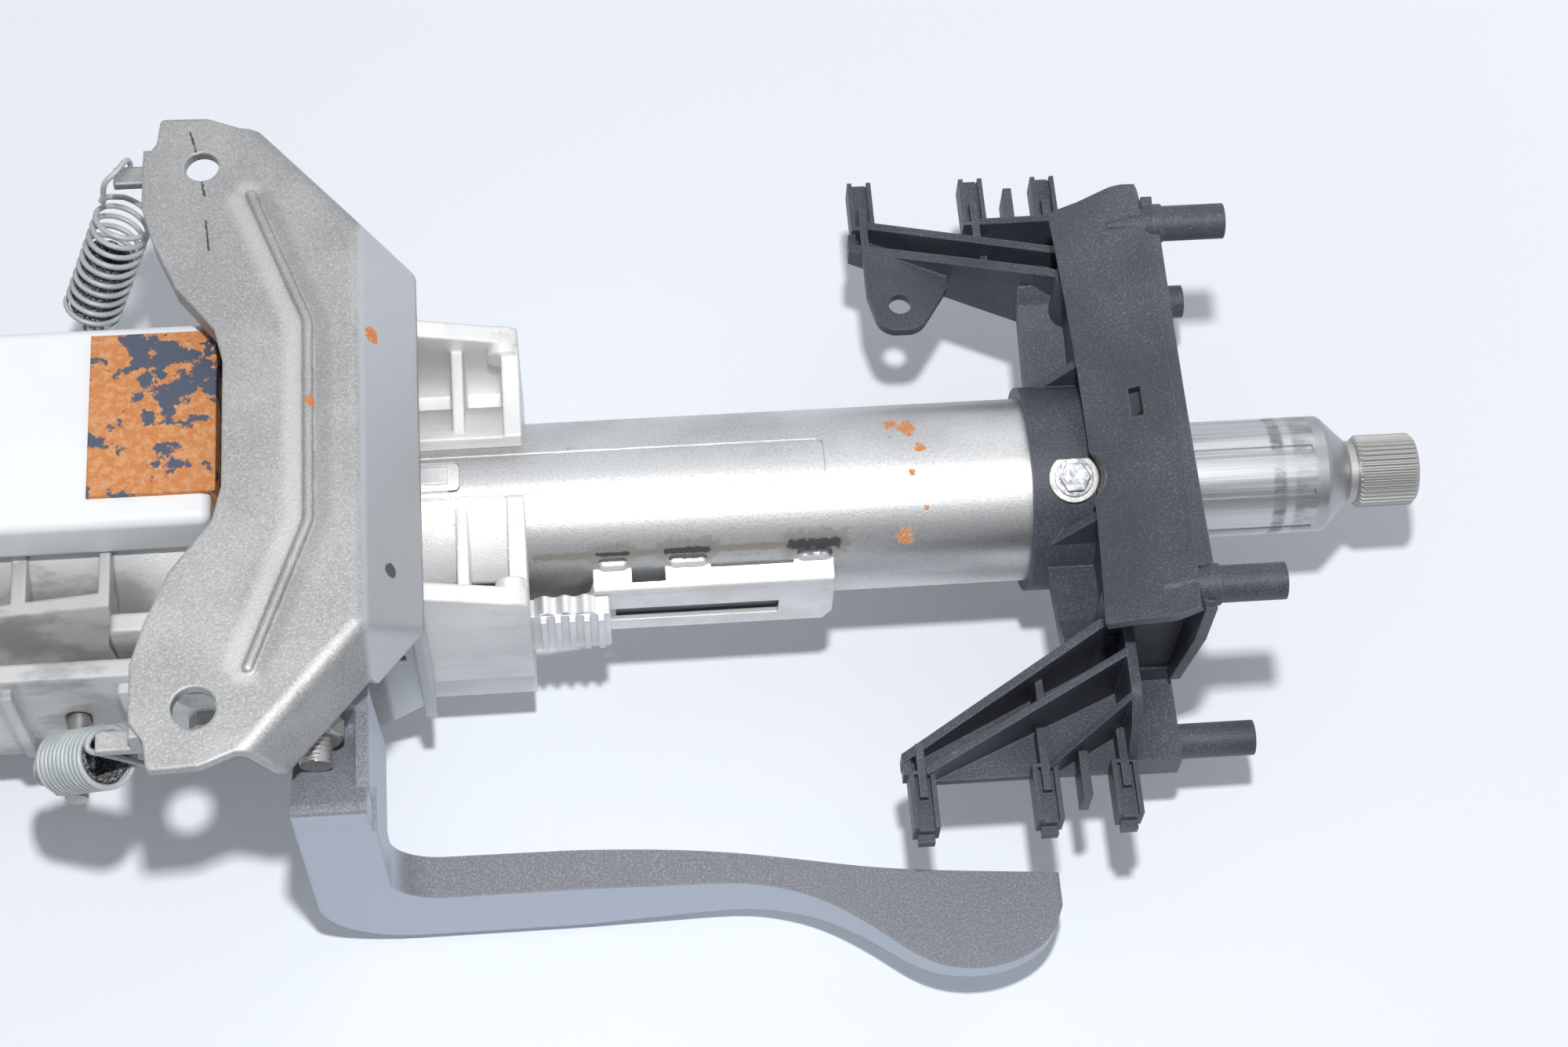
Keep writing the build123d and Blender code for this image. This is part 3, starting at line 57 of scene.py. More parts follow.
class Wire:
    # an output socket that plain maths works on
    def __init__(self, owner, socket):
        self.owner = owner
        self.socket = socket

    def other(self, name):
        # another output of the same node
        return Wire(self.owner, self.socket.node.outputs[name])

    def math(self, operation, *values):
        return self.owner.add("ShaderNodeMath", {"operation": operation}, dict(enumerate(values)))

    def __add__(self, other):
        return self.math("ADD", self, other)

    def __radd__(self, other):
        return self.math("ADD", other, self)

    def __sub__(self, other):
        return self.math("SUBTRACT", self, other)

    def __rsub__(self, other):
        return self.math("SUBTRACT", other, self)

    def __mul__(self, other):
        return self.math("MULTIPLY", self, other)

    def __rmul__(self, other):
        return self.math("MULTIPLY", other, self)

    def highest(self, other):
        return self.math("MAXIMUM", self, other)


def highestOf(masks):
    # set wherever any of the masks is
    first, *rest = masks
    for mask in rest:
        first = first.highest(mask)
    return first


class Tree:
    # adds nodes of any kind to one node tree
    def __init__(self, tree):
        self.tree = tree

    def add(self, kind, settings, sockets, output=0):
        node = self.tree.nodes.new(kind)
        for key, value in settings.items():
            setattr(node, key, value)
        for key, value in sockets.items():
            if isinstance(value, Wire):
                self.tree.links.new(value.socket, node.inputs[key])
            else:
                node.inputs[key].default_value = value
        return Wire(self, node.outputs[output]) if node.outputs else None


def addObject(name, data):
    thing = bpy.data.objects.new(name, data)
    scene.collection.objects.link(thing)
    return thing


# Camera, lamps and sky

camera = {"place": (-0.2276, -0.3672, 0.7029), "tilt": 27.16, "pan": -3.78, "roll": -3.1, "lens": 66.6}


def setCamera():
    lens = bpy.data.cameras.new("camera")
    lens.lens = camera["lens"]
    eye = addObject("camera", lens)
    turn = (Matrix.Rotation(radians(camera["tilt"]), 4, "X")
            @ Matrix.Rotation(radians(camera["pan"]), 4, "Y")
            @ Matrix.Rotation(radians(camera["roll"]), 4, "Z"))
    eye.matrix_world = Matrix.Translation(camera["place"]) @ turn
    scene.camera = eye
    scene.view_settings.view_transform = "Standard"


lamps = {
    "softbox": {"place": (-0.203, -0.223, 0.833), "aim": (-0.25, -0.02, 0), "size": 0.034, "power": 5.7},
    "fill": {"place": (0.5, 0.7, 0.8), "aim": (-0.25, 0, 0), "size": 0.9, "power": 1.6},
}


def addLamp(name, look):
    light = bpy.data.lights.new(name, "AREA")
    light.size = look["size"]
    light.energy = look["power"]
    lamp = addObject(name, light)
    lamp.location = look["place"]
    beam = Vector(look["aim"]) - Vector(look["place"])
    lamp.rotation_euler = beam.to_track_quat("-Z", "Y").to_euler()


skyLook = {"colour": (0.93, 0.96, 1.0, 1), "onObject": 0.32, "inMetal": (0.32, 0.95),
           "lean": (0.15, 0.5, 0.85), "leanSpan": (-0.35, 0.60)}


def setSky():
    world = bpy.data.worlds.new("studio")
    world.use_nodes = True
    world.node_tree.nodes.clear()
    scene.world = world
    t = Tree(world.node_tree)
    # full strength to the camera, less on the object, and in metal brighter towards the top and far side
    toCamera = t.add("ShaderNodeLightPath", {}, {}, "Is Camera Ray")
    direction = t.add("ShaderNodeTexCoord", {}, {}, "Generated")
    lean = t.add("ShaderNodeVectorMath", {"operation": "DOT_PRODUCT"},
                 {0: direction, 1: skyLook["lean"]}, "Value")
    first, last = skyLook["leanSpan"]
    low, high = skyLook["inMetal"]
    dome = t.add("ShaderNodeMapRange", {"interpolation_type": "SMOOTHSTEP"},
                 {"Value": lean, "From Min": first, "From Max": last, "To Min": low, "To Max": high})
    inMetal = t.add("ShaderNodeMix", {}, {"Factor": toCamera.other("Is Glossy Ray"),
                                          "A": skyLook["onObject"], "B": dome})
    level = t.add("ShaderNodeMix", {}, {"Factor": toCamera, "A": inMetal, "B": 1.0})
    sky = t.add("ShaderNodeBackground", {}, {"Color": skyLook["colour"], "Strength": level})
    t.add("ShaderNodeOutputWorld", {}, {"Surface": sky})


setCamera()
setSky()
for lampName, lampLook in lamps.items():
    addLamp(lampName, lampLook)
print("camera and lamps set")


# Material helpers

class Finish(Tree):
    # one procedural material while its nodes are added
    def __init__(self, name):
        self.material = bpy.data.materials.new(name)
        self.material.use_nodes = True
        super().__init__(self.material.node_tree)
        self.tree.nodes.clear()
        self.place = self.add("ShaderNodeTexCoord", {}, {}, "Object")
        self.x = self.add("ShaderNodeSeparateXYZ", {}, {"Vector": self.place}, "X")

    def noise(self, scale, detail=2, stretch=(1, 1, 1), roughness=0.5, shift=(0, 0, 0)):
        mapped = self.add("ShaderNodeMapping", {}, {"Vector": self.place, "Scale": stretch,
                                                    "Location": shift})
        return self.add("ShaderNodeTexNoise", {}, {"Vector": mapped, "Scale": scale, "Detail": detail,
                                                   "Roughness": roughness})

    def cells(self, scale):
        return self.add("ShaderNodeTexVoronoi", {}, {"Vector": self.place, "Scale": scale})

    def step(self, value, low, high):
        # 0 at low and 1 at high, and smooth between them
        return self.add("ShaderNodeMapRange", {"interpolation_type": "SMOOTHSTEP"},
                        {"Value": value, "From Min": low, "From Max": high})

    def mix(self, factor, first, second):
        return self.add("ShaderNodeMix", {"data_type": "RGBA"}, {0: factor, 6: first, 7: second}, 2)

    def layer(self, colour, pattern, span, share, tone):
        # lays a share of a tone over the places where the pattern passes the span
        return self.mix(self.step(pattern, *span) * share, colour, tone)

    def vector(self, operation, first, second):
        return self.add("ShaderNodeVectorMath", {"operation": operation}, {0: first, 1: second})

    def number(self, operation, first, second):
        return self.vector(operation, first, second).other("Value")

    def scaled(self, direction, length):
        return self.add("ShaderNodeVectorMath", {"operation": "SCALE"}, {0: direction, "Scale": length})

    def ragged(self, gap, width, share, scale, detail, roughness):
        # shifts a distance by noise, which makes the edge of its mask ragged
        wave = self.noise(scale, detail, roughness=roughness) - 0.5
        return gap + wave * (width * 2 * share)

    def spot(self, centre, radius, share=0.6, grain=420, core=0.75):
        # 1 inside a ragged patch, 0 outside
        gap = self.ragged(self.number("DISTANCE", self.place, centre), radius, share, grain, 4, 0.65)
        return self.step(gap, radius, radius * core)

    def band(self, start, end, width, core, share=0.0, grain=420):
        # 1 on a straight line between two points, 0 away from it
        run = Vector(end) - Vector(start)
        arm = self.vector("SUBTRACT", self.place, start)
        along = self.add("ShaderNodeClamp", {}, {"Value": self.number("DOT_PRODUCT", arm,
                                                                      run / run.length_squared)})
        gap = self.number("DISTANCE", arm, self.scaled(run, along))
        if share:
            gap = self.ragged(gap, width, share, grain, 3, 0.6)
        return self.step(gap, width, width * core)

    def upward(self, span):
        # 1 where the surface faces up
        normal = self.add("ShaderNodeNewGeometry", {}, {}, "Normal")
        return self.step(self.number("DOT_PRODUCT", normal, (0, 0, 1)), *span)

    def soften(self, radius):
        return self.add("ShaderNodeBevel", {"samples": 4}, {"Radius": radius})

    def edges(self, softened, span=(0.006, 0.05)):
        # 1 on worn outer and inner edges, where the softened normal leaves the flat one
        normal = self.add("ShaderNodeNewGeometry", {}, {}, "Normal")
        return self.step(1 - self.number("DOT_PRODUCT", normal, softened), *span)

    def bump(self, height, depth, softened=None):
        distance, strength = depth
        sockets = {"Height": height, "Distance": distance, "Strength": strength}
        if softened:
            sockets["Normal"] = softened
        return self.add("ShaderNodeBump", {}, sockets)

    def surface(self, colour, metallic, roughness, normal):
        shader = self.add("ShaderNodeBsdfPrincipled", {}, {"Base Color": colour, "Metallic": metallic,
                                                           "Roughness": roughness, "Normal": normal})
        self.add("ShaderNodeOutputMaterial", {}, {"Surface": shader})
        return self.material


def grey(level):
    return (level, level, level, 1)


# Stamped steel of the top bracket and the cheeks

bracketLook = {
    "steel": (0.35, 0.35, 0.345, 1), "cloudy": (0.42, 0.4179, 0.4158, 1), "flange": (0.62, 0.635, 0.66, 1),
    "bright": (0.62, 0.62, 0.61, 1), "dull": grey(0.17), "dirt": (0.05, 0.045, 0.04, 1),
    "rust": (0.66, 0.22, 0.05, 1),
    "grain": {"scale": 1500, "detail": 3, "roughness": 0.7}, "cloud": {"scale": 48, "detail": 3},
    "grit": {"scale": 600}, "wear": {"scale": 160}, "crust": {"scale": 1900},
    "cloudSpan": (0.35, 0.7), "glintSpan": (0.52, 0.64), "pitSpan": (0.46, 0.34), "wearSpan": (0.3, 0.6),
    "crustSpan": (0.25, 0.5),
    "glint": (0.42, 0.3), "pit": (0.30, 0.22), "flangeShare": 0.85, "wearShare": 0.6, "gritShare": 0.6,
    "ridge": -0.2855, "bend": 0.002, "round": 0.0011, "top": 0.0598,
    # line of the painted highlight beside the bead, its ends, and the shift to the painted shade in the
    # groove
    "beadHighlightLine": ((-0.3163, 0.0672), (-0.3018, 0.0280), (-0.3018, -0.0280), (-0.3163, -0.0672)),
    "beadHighlightEnds": ((-0.3142, 0.0704), (-0.3142, -0.0704)), "beadHighlightEndLength": 0.0015,
    "beadLightWidth": 0.0040, "beadLightCore": 0.15, "beadHighlightShare": 0.50, "beadShadeShift": 0.0074, "beadShadeShare": 0.30,
    "rustSpots": (((-0.2818, 0.0263, 0.0553), 0.0028), ((-0.2972, 0.0048, 0.0606), 0.0017)),
    "smudge": ((-0.2784, -0.0397, 0.0508), 0.0022, 0.5, 300), "smudgeShare": 0.8,
    "scratches": (((-0.3285, 0.0891, 0.0595), (-0.3270, 0.0830, 0.0595)),
                  ((-0.3253, 0.0731, 0.0595), (-0.3246, 0.0690, 0.0595)),
                  ((-0.3242, 0.0612, 0.0595), (-0.3233, 0.0519, 0.0595))),
    "scratch": (0.00042, 0.3, 1.3, 900), "scratchShare": 0.85,
    "rough": 0.44, "roughGrain": 0.16, "roughFlange": 0.08, "roughRust": 0.4,
    "metal": 0.9, "metalRust": 0.85, "depth": (0.00010, 0.55),
}


# painted light beside the pressed bead: a soft stripe, widened at its ends, used for the painted highlight on
# one side and the painted shade in the groove on the other
def beadLightBand(f, shift, beadHighlightEnds=()):
    # a soft stripe beside the pressed bead, widened at its ends
    look = bracketLook
    corners = [(x + shift, y, look["top"]) for x, y in look["beadHighlightLine"]]
    runs = list(zip(corners, corners[1:]))
    runs += [((x, y, look["top"]), (x + look["beadHighlightEndLength"], y, look["top"])) for x, y in beadHighlightEnds]
    return highestOf(f.band(start, end, look["beadLightWidth"], look["beadLightCore"]) for start, end in runs)


def bracketSteel():
    f = Finish("bracketSteel")
    look = bracketLook
    grain = f.noise(**look["grain"])
    cloud = f.step(f.noise(**look["cloud"]), *look["cloudSpan"])
    smooth = f.step(f.x, look["ridge"], look["ridge"] + look["bend"])  # the flange is smoother
    glint, glintLoss = look["glint"]
    pit, pitLoss = look["pit"]
    colour = f.mix(cloud, look["steel"], look["cloudy"])
    colour = f.mix(smooth * look["flangeShare"], colour, look["flange"])
    colour = f.layer(colour, grain, look["glintSpan"], glint - smooth * glintLoss, look["bright"])
    colour = f.layer(colour, grain, look["pitSpan"], pit - smooth * pitLoss, look["dull"])
    # painted highlight beside the bead, then painted shade in the groove next to it
    colour = f.mix(beadLightBand(f, 0, look["beadHighlightEnds"]) * look["beadHighlightShare"], colour, look["bright"])
    colour = f.mix(beadLightBand(f, look["beadShadeShift"]) * look["beadShadeShare"], colour, look["dull"])
    softened = f.soften(look["round"])
    worn = f.edges(softened) * f.step(f.noise(**look["wear"]), *look["wearSpan"])
    colour = f.mix(worn * look["wearShare"], colour, look["bright"])
    smudge = f.spot(*look["smudge"]) * look["smudgeShare"]
    scratches = [f.band(*ends, *look["scratch"]) * look["scratchShare"] for ends in look["scratches"]]
    colour = f.mix(highestOf([smudge, *scratches]), colour, look["dirt"])
    rust = highestOf(f.spot(*spot) for spot in look["rustSpots"])
    colour = f.mix(rust * f.step(f.noise(**look["crust"]), *look["crustSpan"]), colour, look["rust"])
    rough = (look["rough"] + grain * look["roughGrain"] - smooth * look["roughFlange"]
             + rust * look["roughRust"])
    normal = f.bump(grain + f.noise(**look["grit"]) * look["gritShare"], look["depth"], softened)
    return f.surface(colour, look["metal"] - rust * look["metalRust"], rough, normal)


# Cast aluminium of the console and the tilt housing

castLook = {
    "metal": (0.87, 0.87, 0.86, 1), "shade": (0.72, 0.72, 0.715, 1), "bright": (0.94, 0.94, 0.93, 1),
    "stain": (0.46, 0.39, 0.29, 1), "frontShade": (0.27, 0.272, 0.278, 1),
    "flow": {"scale": 36, "detail": 4, "stretch": (1, 1, 2.2)},
    "grain": {"scale": 1100, "detail": 3, "roughness": 0.7}, "pitSize": 700, "lumps": {"scale": 140},
    "patch": {"scale": 24, "shift": (0.2, 0, 0.1)},
    "frontShadeCloud": {"scale": 52, "detail": 5, "stretch": (0.5, 1, 1), "roughness": 0.6, "shift": (0.1, 0, 0)},
    "stainCloud": {"scale": 60, "detail": 5, "shift": (0, 0.4, 0)}, "stainGrain": {"scale": 400},
    "flowSpan": (0.3, 0.7), "patchSpan": (0.5, 0.62), "pitSpan": (0.25, 0.1), "glintSpan": (0.45, 0.8),
    "frontShadeSpan": (0.38, 0.62), "stainSpan": (0.62, 0.74), "stainGrainSpan": (0.4, 0.6),
    "patchShare": 0.35, "glintShare": 0.25, "edgeShare": 0.45, "frontShadeShare": 0.80, "leastFrontShade": 0.52,
    "stainShare": 0.35, "grainHeight": 0.5, "lumpHeight": 2,
    "front": (-0.330, -0.350), "round": 0.0013,
    "rough": 0.44, "roughGrain": 0.14, "roughStain": 0.2, "metallic": 0.36, "depth": (0.00012, 0.6),
}


def castAluminium():
    f = Finish("castAluminium")
    look = castLook
    flow = f.step(f.noise(**look["flow"]), *look["flowSpan"])
    grain = f.noise(**look["grain"])
    patch = f.step(f.noise(**look["patch"]), *look["patchSpan"])
    pits = f.step(f.cells(look["pitSize"]), *look["pitSpan"]) * patch
    colour = f.mix(flow, look["metal"], look["shade"])
    glint = patch * look["patchShare"] + f.step(grain, *look["glintSpan"]) * look["glintShare"]
    colour = f.mix(glint, colour, look["bright"])
    softened = f.soften(look["round"])
    colour = f.mix(f.edges(softened) * look["edgeShare"], colour, look["bright"])
    front = f.step(f.x, *look["front"])  # the console and the housing's front are darker
    # grey stain mottling with painted shade over the deeper front of the console and housing
    frontShade = f.step(f.noise(**look["frontShadeCloud"]), *look["frontShadeSpan"]).highest(look["leastFrontShade"]) * front
    colour = f.mix(frontShade * look["frontShadeShare"], colour, look["frontShade"])
    stain = (f.step(f.noise(**look["stainCloud"]), *look["stainSpan"])
             * f.step(f.noise(**look["stainGrain"]), *look["stainGrainSpan"]))
    colour = f.mix(stain * look["stainShare"], colour, look["stain"])
    height = grain * (look["grainHeight"] + patch) + pits + f.noise(**look["lumps"]) * look["lumpHeight"]
    rough = look["rough"] + grain * look["roughGrain"] + stain * look["roughStain"]
    return f.surface(colour, look["metallic"], rough, f.bump(height, look["depth"], softened))


# Burn marks of the three welds that hold the strap, on the tube and on the strap

weldMarks = {
    "spans": ((-0.2267, -0.2186, 0.0008), (-0.2080, -0.1974, 0.0013), (-0.1745, -0.1632, 0.0022)),
    "onTube": (-0.0204, 0.0145), "onStrap": (-0.0214, 0.0133), "edge": (0.5, 0.7, 600),
    "straw": (-0.2430, -0.1610), "strawBand": (0.0016, 0.3, 0.5, 200), "strawWiden": 0.0032,
    "strawShare": 0.8, "burnt": (0.030, 0.030, 0.045, 1),
}


def weldMark(f, place, widen=0.0):
    # ragged streaks along the three welds
    y, z = place
    return highestOf(f.band((first, y, z), (last, y, z), width + widen, *weldMarks["edge"])
                     for first, last, width in weldMarks["spans"])


# Jacket tube, with flecks of rust and a straw-coloured line of heat

jacketLook = {
    "steel": (0.63, 0.63, 0.625, 1), "dark": (0.46, 0.46, 0.465, 1), "rust": (0.66, 0.25, 0.07, 1),
    "drawn": grey(0.78), "glint": grey(0.80), "pit": grey(0.26), "speck": (0.22, 0.20, 0.18, 1),
    "straw": (0.34, 0.27, 0.17, 1),
    "lines": {"scale": 1, "detail": 3, "stretch": (26, 700, 700)},
    "sand": {"scale": 1700, "roughness": 0.6},
    "cloud": {"scale": 34, "detail": 3, "stretch": (0.7, 1, 1), "shift": (0.02, 0, 0.01)},
    "specks": {"scale": 520, "shift": (1, 0, 0)}, "crust": {"scale": 1700},
    "cloudSpan": (0.40, 0.68), "lineSpan": (0.45, 0.75), "glintSpan": (0.50, 0.64), "pitSpan": (0.46, 0.34),
    "speckSpan": (0.72, 0.77), "crustSpan": (0.32, 0.5), "roughSpan": (0.4, 0.7),
    "cloudShare": 0.7, "lineShare": 0.12, "sandShare": 0.22, "speckShare": 0.5, "strawShare": 0.5,
    "burntShare": 0.9, "lineHeight": 0.4,
    "flecks": (((-0.1463, 0.0101, 0.0229), 0.0022), ((-0.1422, 0.0080, 0.0237), 0.0028),
               ((-0.1393, 0.0013, 0.0250), 0.0015), ((-0.1419, -0.0057, 0.0243), 0.0010),
               ((-0.1386, -0.0147, 0.0202), 0.0010), ((-0.1445, -0.0200, 0.0150), 0.0024)),
    "fleckEdge": (1.5, 640), "round": 0.0004,
    "rough": 0.33, "roughCloud": 0.08, "roughSand": 0.08, "roughRust": 0.5, "roughBurnt": 0.2,
    "metal": 0.96, "metalRust": 0.9, "metalBurnt": 0.5, "depth": (0.00006, 0.5),
}


def jacketSteel():
    f = Finish("jacketSteel")
    look = jacketLook
    marks = weldMarks
    lines = f.noise(**look["lines"])
    sand = f.noise(**look["sand"])
    cloud = f.noise(**look["cloud"])
    colour = f.layer(look["steel"], cloud, look["cloudSpan"], look["cloudShare"], look["dark"])
    colour = f.layer(colour, lines, look["lineSpan"], look["lineShare"], look["drawn"])
    colour = f.layer(colour, sand, look["glintSpan"], look["sandShare"], look["glint"])
    colour = f.layer(colour, sand, look["pitSpan"], look["sandShare"], look["pit"])
    colour = f.layer(colour, f.noise(**look["specks"]), look["speckSpan"], look["speckShare"], look["speck"])
    y, z = marks["onTube"]
    line = f.band(*[(x, y, z) for x in marks["straw"]], *marks["strawBand"])
    heat = line.highest(weldMark(f, marks["onTube"], marks["strawWiden"]) * marks["strawShare"])
    colour = f.mix(heat * look["strawShare"], colour, look["straw"])
    burnt = weldMark(f, marks["onTube"])
    colour = f.mix(burnt * look["burntShare"], colour, marks["burnt"])
    rust = highestOf(f.spot(*fleck, *look["fleckEdge"]) for fleck in look["flecks"])
    colour = f.mix(rust * f.step(f.noise(**look["crust"]), *look["crustSpan"]), colour, look["rust"])
    softened = f.soften(look["round"])
    rough = (look["rough"] + f.step(cloud, *look["roughSpan"]) * look["roughCloud"] + sand * look["roughSand"]
             + rust * look["roughRust"] + burnt * look["roughBurnt"])
    metal = look["metal"] - rust * look["metalRust"] - burnt * look["metalBurnt"]
    return f.surface(colour, metal, rough, f.bump(sand + lines * look["lineHeight"], look["depth"], softened))


# Drawn spindle with its cone and wheel spline

spindleLook = {
    "steel": (0.53, 0.535, 0.55, 1), "dark": (0.34, 0.345, 0.36, 1), "mark": (0.10, 0.10, 0.105, 1),
    "glint": grey(0.82), "spline": (0.44, 0.435, 0.42, 1),
    "lines": {"scale": 1, "detail": 3, "stretch": (5, 330, 330), "roughness": 0.6},
    "fine": {"scale": 1, "stretch": (22, 1500, 1500)},
    "patches": {"scale": 1, "detail": 5, "stretch": (70, 240, 240), "roughness": 0.7},
    "lineSpan": (0.44, 0.64), "glintSpan": (0.5, 0.7), "patchSpan": (0.40, 0.66),
    "lineShare": 0.75, "glintShare": 0.3, "coneShare": 0.75, "splineShare": 0.9, "patchShare": 0.8,
    "leastScuff": 0.15, "fineHeight": 0.4,
    "coneStart": -0.0300, "splineStart": -0.0205, "change": 0.001,
    "scuffs": ((-0.0424, -0.0388, 0.75), (-0.0364, -0.0298, 0.55)), "scuffEdge": (0.0006, 0.0008),
    "round": 0.0004, "rough": 0.28, "roughLines": 0.10, "roughSpline": 0.14, "roughScuff": 0.2,
    "metal": 0.95, "depth": (0.00004, 0.5),
}


def scuffRing(f, first, last, share):
    # a ring of rub marks round the spindle
    outside, inside = spindleLook["scuffEdge"]
    return (f.step(f.x, first - outside, first + inside) * f.step(f.x, last + outside, last - inside)
            * share)


def spindleSteel():
    f = Finish("spindleSteel")
    look = spindleLook
    lines = f.noise(**look["lines"])
    fine = f.noise(**look["fine"])
    drawn = f.step(f.x, look["coneStart"] + look["change"], look["coneStart"] - look["change"])
    onSpline = f.step(f.x, look["splineStart"], look["splineStart"] + look["change"])
    dark = f.step(lines, *look["lineSpan"]) * drawn * look["lineShare"]
    glint = f.step(fine, *look["glintSpan"]) * drawn * look["glintShare"]
    colour = f.mix(dark, look["steel"], look["dark"])
    colour = f.mix(glint, colour, look["glint"])
    colour = f.mix((1 - drawn) * look["coneShare"], colour, look["dark"])
    colour = f.mix(onSpline * look["splineShare"], colour, look["spline"])
    patches = f.step(f.noise(**look["patches"]), *look["patchSpan"]) * look["patchShare"] + look["leastScuff"]
    scuff = highestOf(scuffRing(f, *ring) for ring in look["scuffs"]) * patches
    colour = f.mix(scuff, colour, look["mark"])
    softened = f.soften(look["round"])
    rough = (look["rough"] + lines * look["roughLines"] + onSpline * look["roughSpline"]
             + scuff * look["roughScuff"])
    normal = f.bump((lines + fine * look["fineHeight"]) * drawn, look["depth"], softened)
    return f.surface(colour, look["metal"], rough, normal)


# Pale steel of the reach strap and the pieces on it

paleLook = {
    "steel": (0.82, 0.82, 0.815, 1), "shade": (0.70, 0.70, 0.69, 1), "pit": grey(0.40),
    "edge": (0.84, 0.84, 0.83, 1),
    "grain": {"scale": 1300, "detail": 3, "roughness": 0.65}, "cloud": {"scale": 70, "detail": 3},
    "cloudSpan": (0.35, 0.7), "pitSpan": (0.46, 0.32),
    "pitShare": 0.25, "edgeShare": 0.5, "burntShare": 0.92, "round": 0.0005,
    "rough": 0.36, "roughCloud": 0.14, "metal": 0.72, "metalBurnt": 0.4, "depth": (0.00006, 0.5),
}


def paleSteel():
    f = Finish("paleSteel")
    look = paleLook
    grain = f.noise(**look["grain"])
    cloud = f.noise(**look["cloud"])
    colour = f.mix(f.step(cloud, *look["cloudSpan"]), look["steel"], look["shade"])
    colour = f.layer(colour, grain, look["pitSpan"], look["pitShare"], look["pit"])
    softened = f.soften(look["round"])
    colour = f.mix(f.edges(softened) * look["edgeShare"], colour, look["edge"])
    burnt = weldMark(f, weldMarks["onStrap"])
    colour = f.mix(burnt * look["burntShare"], colour, weldMarks["burnt"])
    return f.surface(colour, look["metal"] - burnt * look["metalBurnt"],
                     look["rough"] + cloud * look["roughCloud"], f.bump(grain, look["depth"], softened))


# Zinc on the bolts, the nut and the washers

zincLook = {
    "zinc": (0.44, 0.44, 0.42, 1), "shade": (0.34, 0.34, 0.33, 1), "pit": grey(0.22),
    "edge": (0.80, 0.80, 0.78, 1),
    "grain": {"scale": 1500, "detail": 3, "roughness": 0.7}, "cloud": {"scale": 190, "detail": 3},
    "cloudSpan": (0.35, 0.7), "pitSpan": (0.52, 0.40), "pitShare": 0.5, "edgeShare": 0.55, "round": 0.0005,
    "rough": 0.34, "roughCloud": 0.16, "metal": 0.72, "depth": (0.00010, 0.6),
}


def zincSteel():
    f = Finish("zincSteel")
    look = zincLook
    grain = f.noise(**look["grain"])
    cloud = f.noise(**look["cloud"])
    colour = f.mix(f.step(cloud, *look["cloudSpan"]), look["zinc"], look["shade"])
    colour = f.layer(colour, grain, look["pitSpan"], look["pitShare"], look["pit"])
    softened = f.soften(look["round"])
    colour = f.mix(f.edges(softened) * look["edgeShare"], colour, look["edge"])
    return f.surface(colour, look["metal"], look["rough"] + cloud * look["roughCloud"],
                     f.bump(grain, look["depth"], softened))


# Dark steel of the screw and the clips

darkLook = {
    "steel": (0.16, 0.165, 0.175, 1), "pale": (0.46, 0.465, 0.475, 1), "edge": grey(0.74),
    "cloud": {"scale": 420, "detail": 4, "roughness": 0.7}, "grain": {"scale": 1500},
    "cloudSpan": (0.35, 0.65), "edgeShare": 0.7, "round": 0.0005,
    "rough": 0.26, "roughCloud": 0.16, "metal": 0.75, "depth": (0.00006, 0.5),
}


def darkSteel():
    f = Finish("darkSteel")
    look = darkLook
    cloud = f.noise(**look["cloud"])
    colour = f.mix(f.step(cloud, *look["cloudSpan"]), look["steel"], look["pale"])
    softened = f.soften(look["round"])
    colour = f.mix(f.edges(softened) * look["edgeShare"], colour, look["edge"])
    return f.surface(colour, look["metal"], look["rough"] + cloud * look["roughCloud"],
                     f.bump(f.noise(**look["grain"]), look["depth"], softened))


# Lever paint, dark and speckled on top, with the sides paler from a painted reflection of the pale floor

leverLook = {
    # the side colour is a painted reflection of the pale floor on the lever's sides
    "top": (0.175, 0.184, 0.213, 1), "side": (0.50, 0.55, 0.645, 1), "speck": (0.48, 0.49, 0.53, 1),
    "scuff": (0.33, 0.31, 0.28, 1), "rim": (0.50, 0.53, 0.58, 1),
    "grain": {"scale": 1900, "roughness": 0.6},
    "scuffCloud": {"scale": 42, "detail": 4, "stretch": (0.6, 1, 1), "shift": (0.11, 0, 0)},
    "upSpan": (0.15, 0.75), "speckSpan": (0.47, 0.62), "scuffSpan": (0.66, 0.75),
    "speckShare": (0.04, 0.30), "scuffShare": 0.3, "rimShare": 0.35, "round": 0.0009,
    "rough": 0.44, "roughGrain": 0.16, "roughSide": 0.05, "depth": (0.00012, 0.7),
}


def leverPaint():
    f = Finish("leverPaint")
    look = leverLook
    grain = f.noise(**look["grain"])
    up = f.upward(look["upSpan"])
    least, more = look["speckShare"]
    # painted reflection: faces that don't face up take the pale blue-grey sheen of the floor
    colour = f.mix(up, look["side"], look["top"])
    colour = f.layer(colour, grain, look["speckSpan"], least + up * more, look["speck"])
    scuff = f.step(f.noise(**look["scuffCloud"]), *look["scuffSpan"]) * (1 - up)
    colour = f.mix(scuff * look["scuffShare"], colour, look["scuff"])
    softened = f.soften(look["round"])
    colour = f.mix(f.edges(softened) * look["rimShare"], colour, look["rim"])
    rough = look["rough"] + grain * look["roughGrain"] - (1 - up) * look["roughSide"]
    return f.surface(colour, 0.0, rough, f.bump(grain, look["depth"], softened))


# Moulded black plastic, with more sparks of light where it faces up

